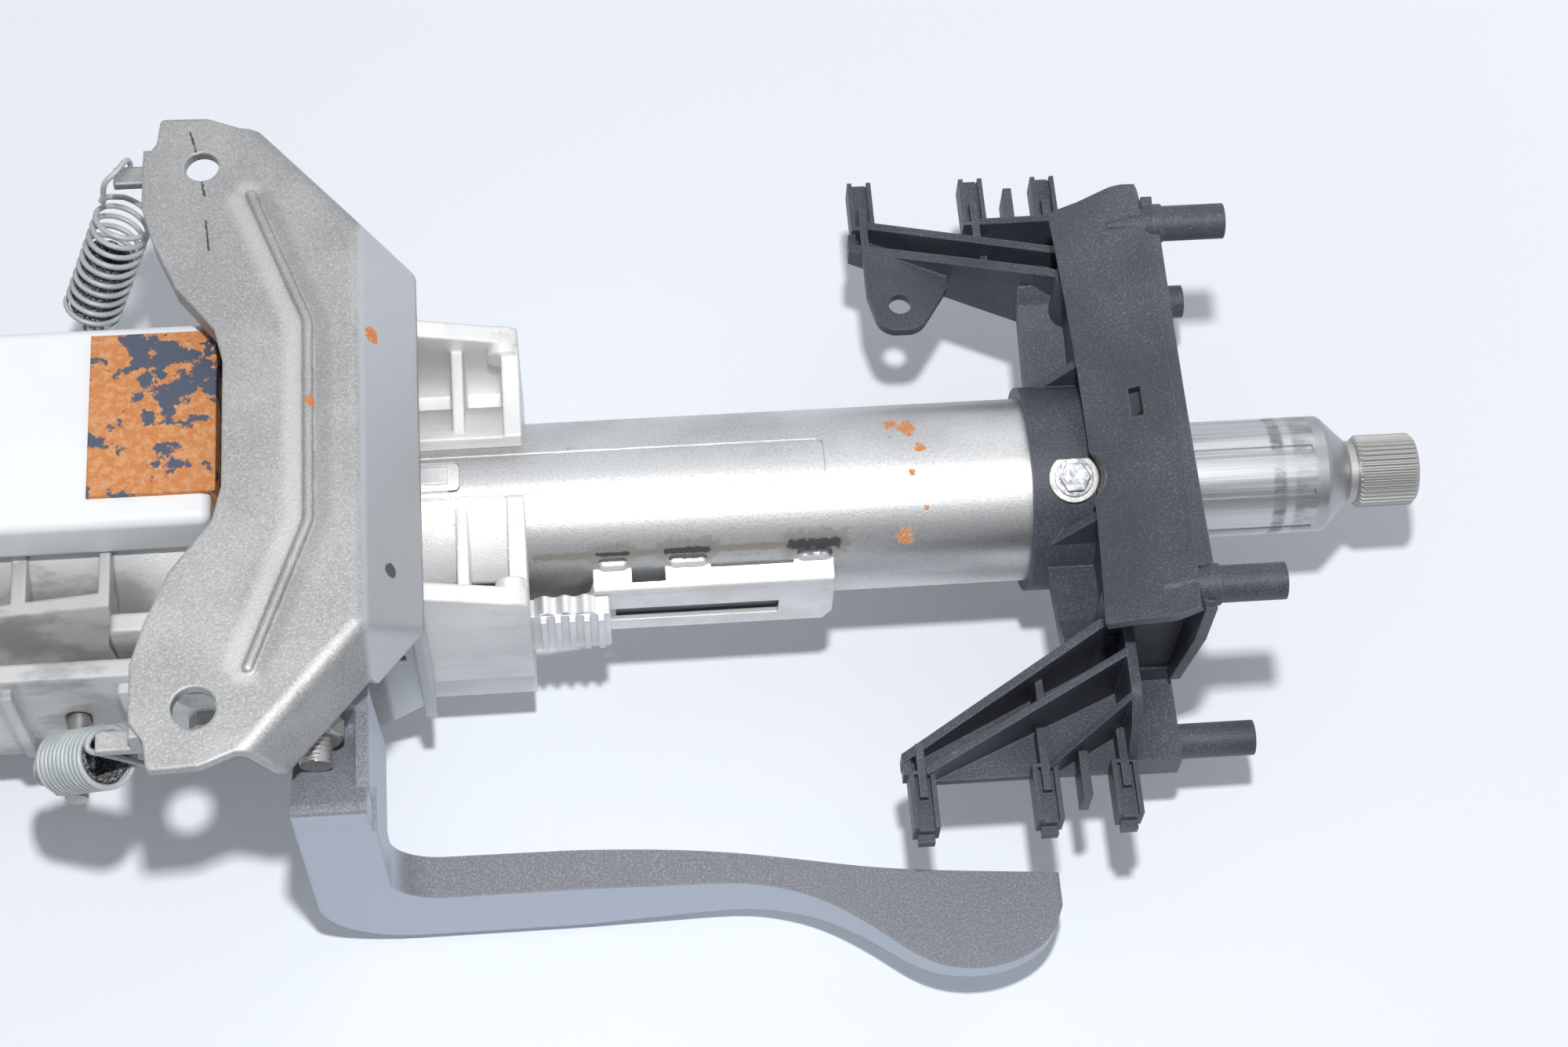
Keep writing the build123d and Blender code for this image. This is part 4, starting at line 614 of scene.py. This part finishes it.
plasticLook = {
    "deep": (0.036, 0.041, 0.055, 1), "plain": (0.056, 0.063, 0.084, 1), "spark": (0.42, 0.45, 0.50, 1),
    "edge": (0.22, 0.23, 0.255, 1),
    "grain": {"scale": 1750, "detail": 3, "roughness": 0.7}, "patch": {"scale": 40, "detail": 3},
    "upSpan": (0.1, 0.8), "patchSpan": (0.3, 0.7), "sparkSpan": (0.50, 0.64), "sparkPatchSpan": (0.25, 0.7),
    "sparkShare": (0.12, 0.10), "sparkPatch": (0.4, 0.6), "edgeShare": 0.30, "round": 0.0007,
    "rough": 0.36, "roughGrain": 0.2, "depth": (0.00016, 0.8),
}


def blackPlastic():
    f = Finish("blackPlastic")
    look = plasticLook
    grain = f.noise(**look["grain"])
    patch = f.noise(**look["patch"])
    least, more = look["sparkShare"]
    low, high = look["sparkPatch"]
    colour = f.mix(f.step(patch, *look["patchSpan"]), look["deep"], look["plain"])
    spark = (f.step(grain, *look["sparkSpan"]) * (least + f.upward(look["upSpan"]) * more)
             * (f.step(patch, *look["sparkPatchSpan"]) * high + low))
    colour = f.mix(spark, colour, look["spark"])
    softened = f.soften(look["round"])
    colour = f.mix(f.edges(softened) * look["edgeShare"], colour, look["edge"])
    return f.surface(colour, 0.0, look["rough"] + grain * look["roughGrain"],
                     f.bump(grain, look["depth"], softened))


# Pale coat on the balance springs

coatLook = {
    "coat": (0.50, 0.54, 0.545, 1), "shade": (0.41, 0.445, 0.445, 1), "cloud": {"scale": 150, "detail": 3},
    "grain": {"scale": 1600}, "cloudSpan": (0.4, 0.7), "rough": 0.40, "roughCloud": 0.1, "metal": 0.10,
    "depth": (0.00004, 0.5),
}


def springCoat():
    f = Finish("springCoat")
    look = coatLook
    cloud = f.noise(**look["cloud"])
    colour = f.mix(f.step(cloud, *look["cloudSpan"]), look["coat"], look["shade"])
    return f.surface(colour, look["metal"], look["rough"] + cloud * look["roughCloud"],
                     f.bump(f.noise(**look["grain"]), look["depth"]))


# Dark felt with pale fibres

feltLook = {
    "felt": (0.022, 0.024, 0.027, 1), "fibre": (0.60, 0.62, 0.62, 1),
    "fibres": {"scale": 1900, "detail": 4, "roughness": 0.75}, "tufts": {"scale": 520, "detail": 3},
    "fibreSpan": (0.47, 0.60), "rough": 0.95, "depth": (0.0006, 0.9),
}


def darkFelt():
    f = Finish("darkFelt")
    look = feltLook
    fibres = f.noise(**look["fibres"])
    colour = f.mix(f.step(fibres, *look["fibreSpan"]), look["felt"], look["fibre"])
    return f.surface(colour, 0.0, look["rough"], f.bump(fibres + f.noise(**look["tufts"]), look["depth"]))


# White plastic of the module box

whiteLook = {
    "white": (0.87, 0.89, 0.91, 1), "shade": (0.83, 0.85, 0.875, 1), "cloud": {"scale": 30},
    "grain": {"scale": 900}, "cloudSpan": (0.4, 0.7), "round": 0.0012, "rough": 0.36, "roughCloud": 0.08,
    "depth": (0.00003, 0.4),
}


def whitePlastic():
    f = Finish("whitePlastic")
    look = whiteLook
    cloud = f.noise(**look["cloud"])
    colour = f.mix(f.step(cloud, *look["cloudSpan"]), look["white"], look["shade"])
    return f.surface(colour, 0.0, look["rough"] + cloud * look["roughCloud"],
                     f.bump(f.noise(**look["grain"]), look["depth"], f.soften(look["round"])))


# Rusty strap over the module box

rustLook = {
    "rust": (0.60, 0.23, 0.075, 1), "deep": (0.40, 0.13, 0.035, 1), "pale": (0.68, 0.34, 0.16, 1),
    "bare": (0.085, 0.10, 0.145, 1),
    "grain": {"scale": 1600, "detail": 3, "roughness": 0.7},
    "crust": {"scale": 420, "detail": 4, "roughness": 0.65},
    "patch": {"scale": 130, "detail": 5, "roughness": 0.6},
    "paleSpan": (0.42, 0.62), "deepSpan": (0.5, 0.7), "deepShare": 0.4,
    "bareCentre": (-0.3305, 0.0265, 0.0455), "bareReach": (0.003, 0.024), "bareBonus": 0.13,
    "bareSpan": (0.565, 0.600), "grainHeight": 0.4, "round": 0.0006,
    "rough": 0.85, "roughBare": 0.4, "metalBare": 0.3, "depth": (0.00022, 0.8),
}


def rustySteel():
    f = Finish("rustySteel")
    look = rustLook
    grain = f.noise(**look["grain"])
    crust = f.noise(**look["crust"])
    colour = f.mix(f.step(crust, *look["paleSpan"]), look["rust"], look["pale"])
    colour = f.layer(colour, grain, look["deepSpan"], look["deepShare"], look["deep"])
    # the rust has come off most round one place
    near = 1 - f.step(f.number("DISTANCE", f.place, look["bareCentre"]), *look["bareReach"])
    bare = f.step(f.noise(**look["patch"]) + near * look["bareBonus"], *look["bareSpan"])
    colour = f.mix(bare, colour, look["bare"])
    height = crust * (1 - bare) + grain * look["grainHeight"]
    return f.surface(colour, bare * look["metalBare"], look["rough"] - bare * look["roughBare"],
                     f.bump(height, look["depth"], f.soften(look["round"])))


finishes = {
    "bracket_steel": bracketSteel(), "cast_aluminium": castAluminium(), "jacket_steel": jacketSteel(),
    "spindle_steel": spindleSteel(), "pale_steel": paleSteel(), "zinc_steel": zincSteel(),
    "dark_steel": darkSteel(), "lever_grey": leverPaint(), "black_plastic": blackPlastic(),
    "spring_wire": springCoat(), "felt": darkFelt(), "white_plastic": whitePlastic(),
    "rusty_steel": rustySteel(),
}


def dressNodes():
    for part in frame["record"]["subparts"]:
        materials = nodes[part["node"]].data.materials
        materials.clear()
        materials.append(finishes[part["material_slot"]])


dressNodes()
print("finishes made:", len(finishes))


# Piece helpers

def addPiece(name, mesh, finish):
    mesh.materials.clear()
    mesh.materials.append(finishes[finish])
    return addObject(name, mesh)


def meshFrom(name, shape, smooth=False):
    # turns a bmesh into a mesh with its faces outwards
    bmesh.ops.recalc_face_normals(shape, faces=shape.faces)
    for face in shape.faces:
        face.smooth = smooth
    mesh = bpy.data.meshes.new(name)
    shape.to_mesh(mesh)
    shape.free()
    return mesh


def evaluatedMesh(thing):
    bpy.context.view_layer.update()
    return bpy.data.meshes.new_from_object(thing.evaluated_get(bpy.context.evaluated_depsgraph_get()))


def axisFrame(start, direction, side=(0, 1, 0)):
    # matrix that takes +Z to the direction, with the origin at start
    up = Vector(direction).normalized()
    across = (Vector(side) - up * Vector(side).dot(up)).normalized()
    turn = Matrix((across, up.cross(across), up)).transposed().to_4x4()
    return Matrix.Translation(start) @ turn


def coilTree():
    # a wire wound on a straight axis along +Z
    tree = bpy.data.node_groups.new("coil", "GeometryNodeTree")
    for label, kind in (("Turns", "Float"), ("Radius", "Float"), ("Length", "Float"), ("Wire", "Float"),
                        ("Steps", "Int"), ("Sides", "Int"), ("Finish", "Material")):
        tree.interface.new_socket(label, in_out="INPUT", socket_type="NodeSocket" + kind)
    tree.interface.new_socket("Geometry", in_out="OUTPUT", socket_type="NodeSocketGeometry")
    t = Tree(tree)
    turns = t.add("NodeGroupInput", {}, {}, "Turns")
    spiral = t.add("GeometryNodeCurveSpiral", {}, {
        "Resolution": turns.other("Steps"), "Rotations": turns, "Start Radius": turns.other("Radius"),
        "End Radius": turns.other("Radius"), "Height": turns.other("Length"),
        "Reverse": True})  # right-handed
    ring = t.add("GeometryNodeCurvePrimitiveCircle", {}, {"Resolution": turns.other("Sides"),
                                                          "Radius": turns.other("Wire")})
    sweep = t.add("GeometryNodeCurveToMesh", {}, {"Curve": spiral, "Profile Curve": ring, "Fill Caps": True})
    real = t.add("GeometryNodeRealizeInstances", {}, {0: sweep})
    dressed = t.add("GeometryNodeSetMaterial", {}, {"Geometry": real, "Material": turns.other("Finish")})
    t.add("NodeGroupOutput", {}, {0: dressed})
    return tree


coil = coilTree()


def coilMesh(name, values):
    # runs the coil's tree on an empty holder and keeps only the mesh
    holder = addObject(name + "Holder", bpy.data.meshes.new(name + "Holder"))
    modifier = holder.modifiers.new("grow", "NODES")
    modifier.node_group = coil
    for socket in coil.interface.items_tree:
        if socket.in_out == "INPUT":
            modifier[socket.identifier] = values[socket.name]
    mesh = evaluatedMesh(holder)
    mesh.name = name
    holder.modifiers.clear()
    bpy.data.objects.remove(holder)
    return mesh


# Balance springs

springLook = {"radius": 0.00745, "wire": 0.00078, "steps": 26, "sides": 8,
              "hookRadius": 0.005, "hookPoints": 9, "hookTurn": 0.86, "wireRound": 3, "wireSteps": 8}


def bentWire(name, points):
    # a smooth wire through the given points, as a mesh
    look = springLook
    data = bpy.data.curves.new(name, "CURVE")
    data.dimensions = "3D"
    data.bevel_depth = look["wire"]
    data.bevel_resolution = look["wireRound"]
    data.use_fill_caps = True
    line = data.splines.new("NURBS")
    line.points.add(len(points) - 1)
    for knot, point in zip(line.points, points):
        knot.co = (*point, 1)
    line.order_u = 3
    line.use_endpoint_u = True
    line.resolution_u = look["wireSteps"]
    shape = addObject(name, data)
    mesh = evaluatedMesh(shape)
    bpy.data.objects.remove(shape)
    return mesh


def aroundCoil(place, rows):
    # points given by angle, share of the coil's radius and height along its axis
    points = []
    for angle, share, along in rows:
        reach = springLook["radius"] * share
        points.append(place @ Vector((reach * cos(radians(angle)), reach * sin(radians(angle)), along)))
    return points


def lowHook(foot, rim, direction):
    # leaves the coil's rim and bends back round the peg
    look = springLook
    reach = look["hookRadius"]
    down = Vector(direction).normalized()
    side = Vector((0, 1, 0)) if abs(down.y) < 0.7 else Vector((1, 0, 0))
    centre = Vector(foot) + down * reach
    points = [Vector(rim)]
    for index in range(look["hookPoints"]):
        angle = -pi / 2 + 2 * pi * look["hookTurn"] * index / (look["hookPoints"] - 1)
        points.append(centre + side * reach * cos(angle) + down * reach * sin(angle))
    return points


def springMesh(name, start, run, spring, topHook, direction):
    look = springLook
    top, low = spring["legs"]
    length = run.length - top - low
    winding = coilMesh(name, {"Turns": spring["turns"], "Radius": look["radius"], "Length": length,
                              "Wire": look["wire"], "Steps": look["steps"], "Sides": look["sides"],
                              "Finish": finishes["spring_wire"]})
    place = axisFrame(start + run.normalized() * top, run)
    winding.transform(place)
    end = 2 * pi * spring["turns"]
    rim = place @ Vector((look["radius"] * cos(end), look["radius"] * sin(end), length))
    joined = bmesh.new()
    for mesh in (winding, bentWire(name + "Top", topHook(place)),
                 bentWire(name + "Low", lowHook(start + run, rim, direction))):
        joined.from_mesh(mesh)
    return meshFrom(name, joined, smooth=True)


farSpring = {
    "top": (-0.3465, 0.082, 0.04225), "low": (-0.365, 0.069, 0.0012), "turns": 10.5,
    "legs": (0.0075, 0.0015),
    "rise": ((0, 1, 0), (-40, 1, -0.0008), (-80, 1.02, -0.0024), (-110, 1.02, -0.0052)),
    "over": ((-0.0068, -0.0025, 0.0060), (-0.0056, -0.0020, 0.0098), (-0.0024, -0.0002, 0.0112),
             (0.0000, 0.0040, 0.0110), (0.0004, 0.0058, 0.0070), (0.0002, 0.0046, 0.0034),
             (0.0, 0.0020, 0.0026)),
}


def farHook(place):
    # rises beside the coil in a wide arc and comes down over the bracket's lug
    x, y, z = farSpring["top"]
    over = [Vector((x + a, y + b, z + c)) for a, b, c in farSpring["over"]]
    return aroundCoil(place, farSpring["rise"]) + over


nearSpring = {
    "top": (-0.3465, -0.082, 0.04225), "direction": (-14.9, 6.2, -17.0), "coil": 0.023, "turns": 11.5,
    "legs": (0.0035, 0.0035),
    "mouth": ((0, 1, 0), (-30, 1, -0.0004), (-60, 1, -0.0009), (-84, 0.98, -0.0013), (-92, 0.80, -0.0016),
              (-90, 0.45, -0.0017), (90, 0.2, -0.0018), (90, 0.8, -0.0018), (90, 1.25, -0.0018)),
}


def nearHook(place):
    # turns in at the mouth and crosses it towards the lug
    return aroundCoil(place, nearSpring["mouth"])


def makeSprings():
    start, low = Vector(farSpring["top"]), Vector(farSpring["low"])
    mesh = springMesh("farSpringWire", start, low - start, farSpring, farHook, (0, 0, -1))
    far = addPiece("farSpringWire", mesh, "spring_wire")
    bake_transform(far)
    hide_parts("far_spring")
    start, direction = Vector(nearSpring["top"]), nearSpring["direction"]
    run = Vector(direction).normalized() * (nearSpring["coil"] + sum(nearSpring["legs"]))
    mesh = springMesh("nearSpringWire", start, run, nearSpring, nearHook, direction)
    near = addPiece("nearSpringWire", mesh, "spring_wire")
    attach(near, "mount")
    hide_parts("near_spring")


makeSprings()
print("springs made")


# Felt sleeves inside the springs

sleeveLook = {"outer": 0.0062, "wall": 0.0010, "rings": 40, "sides": 48, "far": (0.0225, 0.0430),
              "near": (0.0050, 0.0262), "fuzz": 0.00035, "ringWave": 2.3, "lobes": 3, "twist": 2,
              "tufts": 5, "drift": 0.7}


def fuzzAt(ring, angle):
    look = sleeveLook
    wave = sin(ring * look["ringWave"] + sin(angle * look["lobes"]) * look["twist"])
    return look["fuzz"] * wave * cos(angle * look["tufts"] + ring * look["drift"])


def makeSleeve(name, start, run, span):
    look = sleeveLook
    place = axisFrame(start, run)
    first, last = span
    shell = bmesh.new()
    grid = []
    for ring in range(look["rings"] + 1):
        along = first + (last - first) * ring / look["rings"]
        row = []
        for side in range(look["sides"]):
            angle = 2 * pi * side / look["sides"]
            radius = look["outer"] + fuzzAt(ring, angle)
            row.append(shell.verts.new(place @ Vector((radius * cos(angle), radius * sin(angle), along))))
        grid.append(row)
    for low, high in zip(grid, grid[1:]):
        for side in range(look["sides"]):
            after = (side + 1) % look["sides"]
            shell.faces.new((low[side], low[after], high[after], high[side]))
    sleeve = addPiece(name, meshFrom(name, shell, smooth=True), "felt")
    wall = sleeve.modifiers.new("wall", "SOLIDIFY")
    wall.thickness = look["wall"]
    wall.offset = -1
    return sleeve


def makeSleeves():
    start, low = Vector(farSpring["top"]), Vector(farSpring["low"])
    far = makeSleeve("feltSleeve", start, low - start, sleeveLook["far"])
    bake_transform(far)
    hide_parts("far_sleeve")
    near = makeSleeve("nearFelt", nearSpring["top"], nearSpring["direction"], sleeveLook["near"])
    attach(near, "mount")


makeSleeves()
print("felt sleeves made")


# Thread on the free end of the clamp bolt

threadLook = {"axis": (-0.299, 0.0335), "from": -0.0842, "length": 0.0085, "radius": 0.00385,
              "pitch": 0.00125, "wire": 0.00042, "steps": 20, "sides": 5}


def makeThread():
    look = threadLook
    mesh = coilMesh("boltThread", {"Turns": look["length"] / look["pitch"], "Radius": look["radius"],
                                   "Length": look["length"], "Wire": look["wire"],
                                   "Steps": look["steps"], "Sides": look["sides"],
                                   "Finish": finishes["zinc_steel"]})
    x, z = look["axis"]
    mesh.transform(axisFrame((x, look["from"], z), (0, 1, 0), (0, 0, 1)))
    thread = addPiece("boltThread", mesh, "zinc_steel")
    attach(thread, "clamp_lever")


makeThread()


# Narrow lip along the wheel side of the carrier's visor

lipLook = {"reach": (-0.050, 0.052), "steps": 48, "inner": (-0.0733, -1.1), "outer": (-0.0700, -0.4),
           "middle": 0.04325, "sag": 0.441, "thick": 0.0030, "round": 0.0004, "corner": 0.3}


def lipSection(y):
    # the strip's outline in the plane across the visor at y
    look = lipLook
    inner, outer = [at + bend * y * y for at, bend in (look["inner"], look["outer"])]
    top = look["middle"] + y * y / look["sag"]
    low, r = top - look["thick"], look["round"]
    cut = r * look["corner"]
    return [(x, y, z) for x, z in ((inner, low), (outer, low), (outer, top - r), (outer - cut, top - cut),
                                   (outer - r, top), (inner, top))]


def makeLip():
    first, last = lipLook["reach"]
    steps = lipLook["steps"]
    strip = bmesh.new()
    stations = [first + (last - first) * index / steps for index in range(steps + 1)]
    rows = [[strip.verts.new(point) for point in lipSection(y)] for y in stations]
    for near, far in zip(rows, rows[1:]):
        for index in range(len(near)):
            after = (index + 1) % len(near)
            strip.faces.new((near[index], near[after], far[after], far[index]))
    strip.faces.new(rows[0])
    strip.faces.new(rows[-1])
    lip = addPiece("visorLip", meshFrom("visorLip", strip), "black_plastic")
    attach(lip, "reach")


makeLip()


# Dark strip behind the slot of the reach strap, a black piece put there as painted shade inside the slot, and
# the foot under the near end of the visor

plates = {"slotShadeStrip": ((-0.2225, -0.0269, -0.0115), (-0.1690, -0.0259, -0.0025)),
          "visorFoot": ((-0.0870, -0.0530, -0.0148), (-0.0740, -0.0512, -0.0070))}
plateCorner = 0.0003


def makePlate(name, low, high):
    plate = bmesh.new()
    bmesh.ops.create_cube(plate, size=1)
    for vertex in plate.verts:
        vertex.co = [(a + b) / 2 + c * (b - a) for a, b, c in zip(low, high, vertex.co)]
    bmesh.ops.bevel(plate, geom=plate.edges[:], offset=plateCorner, segments=2, affect="EDGES", profile=0.5)
    piece = addPiece(name, meshFrom(name, plate), "black_plastic")
    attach(piece, "reach")


for plateName, plateCorners in plates.items():
    makePlate(plateName, *plateCorners)
print("thread, visor lip and plates made")


# Floor, which glows a little to the camera and in metal, and more where the lamp falls off

floorLook = {"height": -0.06, "size": 6.0, "middle": -0.25, "colour": (0.86, 0.895, 0.95, 1), "rough": 0.85,
             "glow": (0.052, 0.305), "glowTint": (0.96, 0.98, 1.0), "glowCentre": (-0.25, -0.1, -0.06),
             "glowReach": (0.20, 0.75)}


def floorFinish():
    f = Finish("paleFloor")
    look = floorLook
    away = f.number("DISTANCE", f.place, look["glowCentre"])
    low, high = look["glow"]
    glow = f.step(away, *look["glowReach"]) * (high - low) + low
    toCamera = f.add("ShaderNodeLightPath", {}, {}, "Is Camera Ray")
    seen = toCamera.highest(toCamera.other("Is Glossy Ray"))
    shader = f.add("ShaderNodeBsdfPrincipled", {}, {"Base Color": look["colour"], "Roughness": look["rough"],
                                                    "Emission Color": f.scaled(look["glowTint"], glow * seen),
                                                    "Emission Strength": 1.0})
    f.add("ShaderNodeOutputMaterial", {}, {"Surface": shader})
    return f.material


def makeFloor():
    half, middle = floorLook["size"] / 2, floorLook["middle"]
    corners = [(x + middle, y, floorLook["height"])
               for x, y in ((-half, -half), (half, -half), (half, half), (-half, half))]
    mesh = bpy.data.meshes.new("floor")
    mesh.from_pydata(corners, [], [(0, 1, 2, 3)])
    mesh.materials.append(floorFinish())
    addObject("floor", mesh)


makeFloor()
print("floor laid")
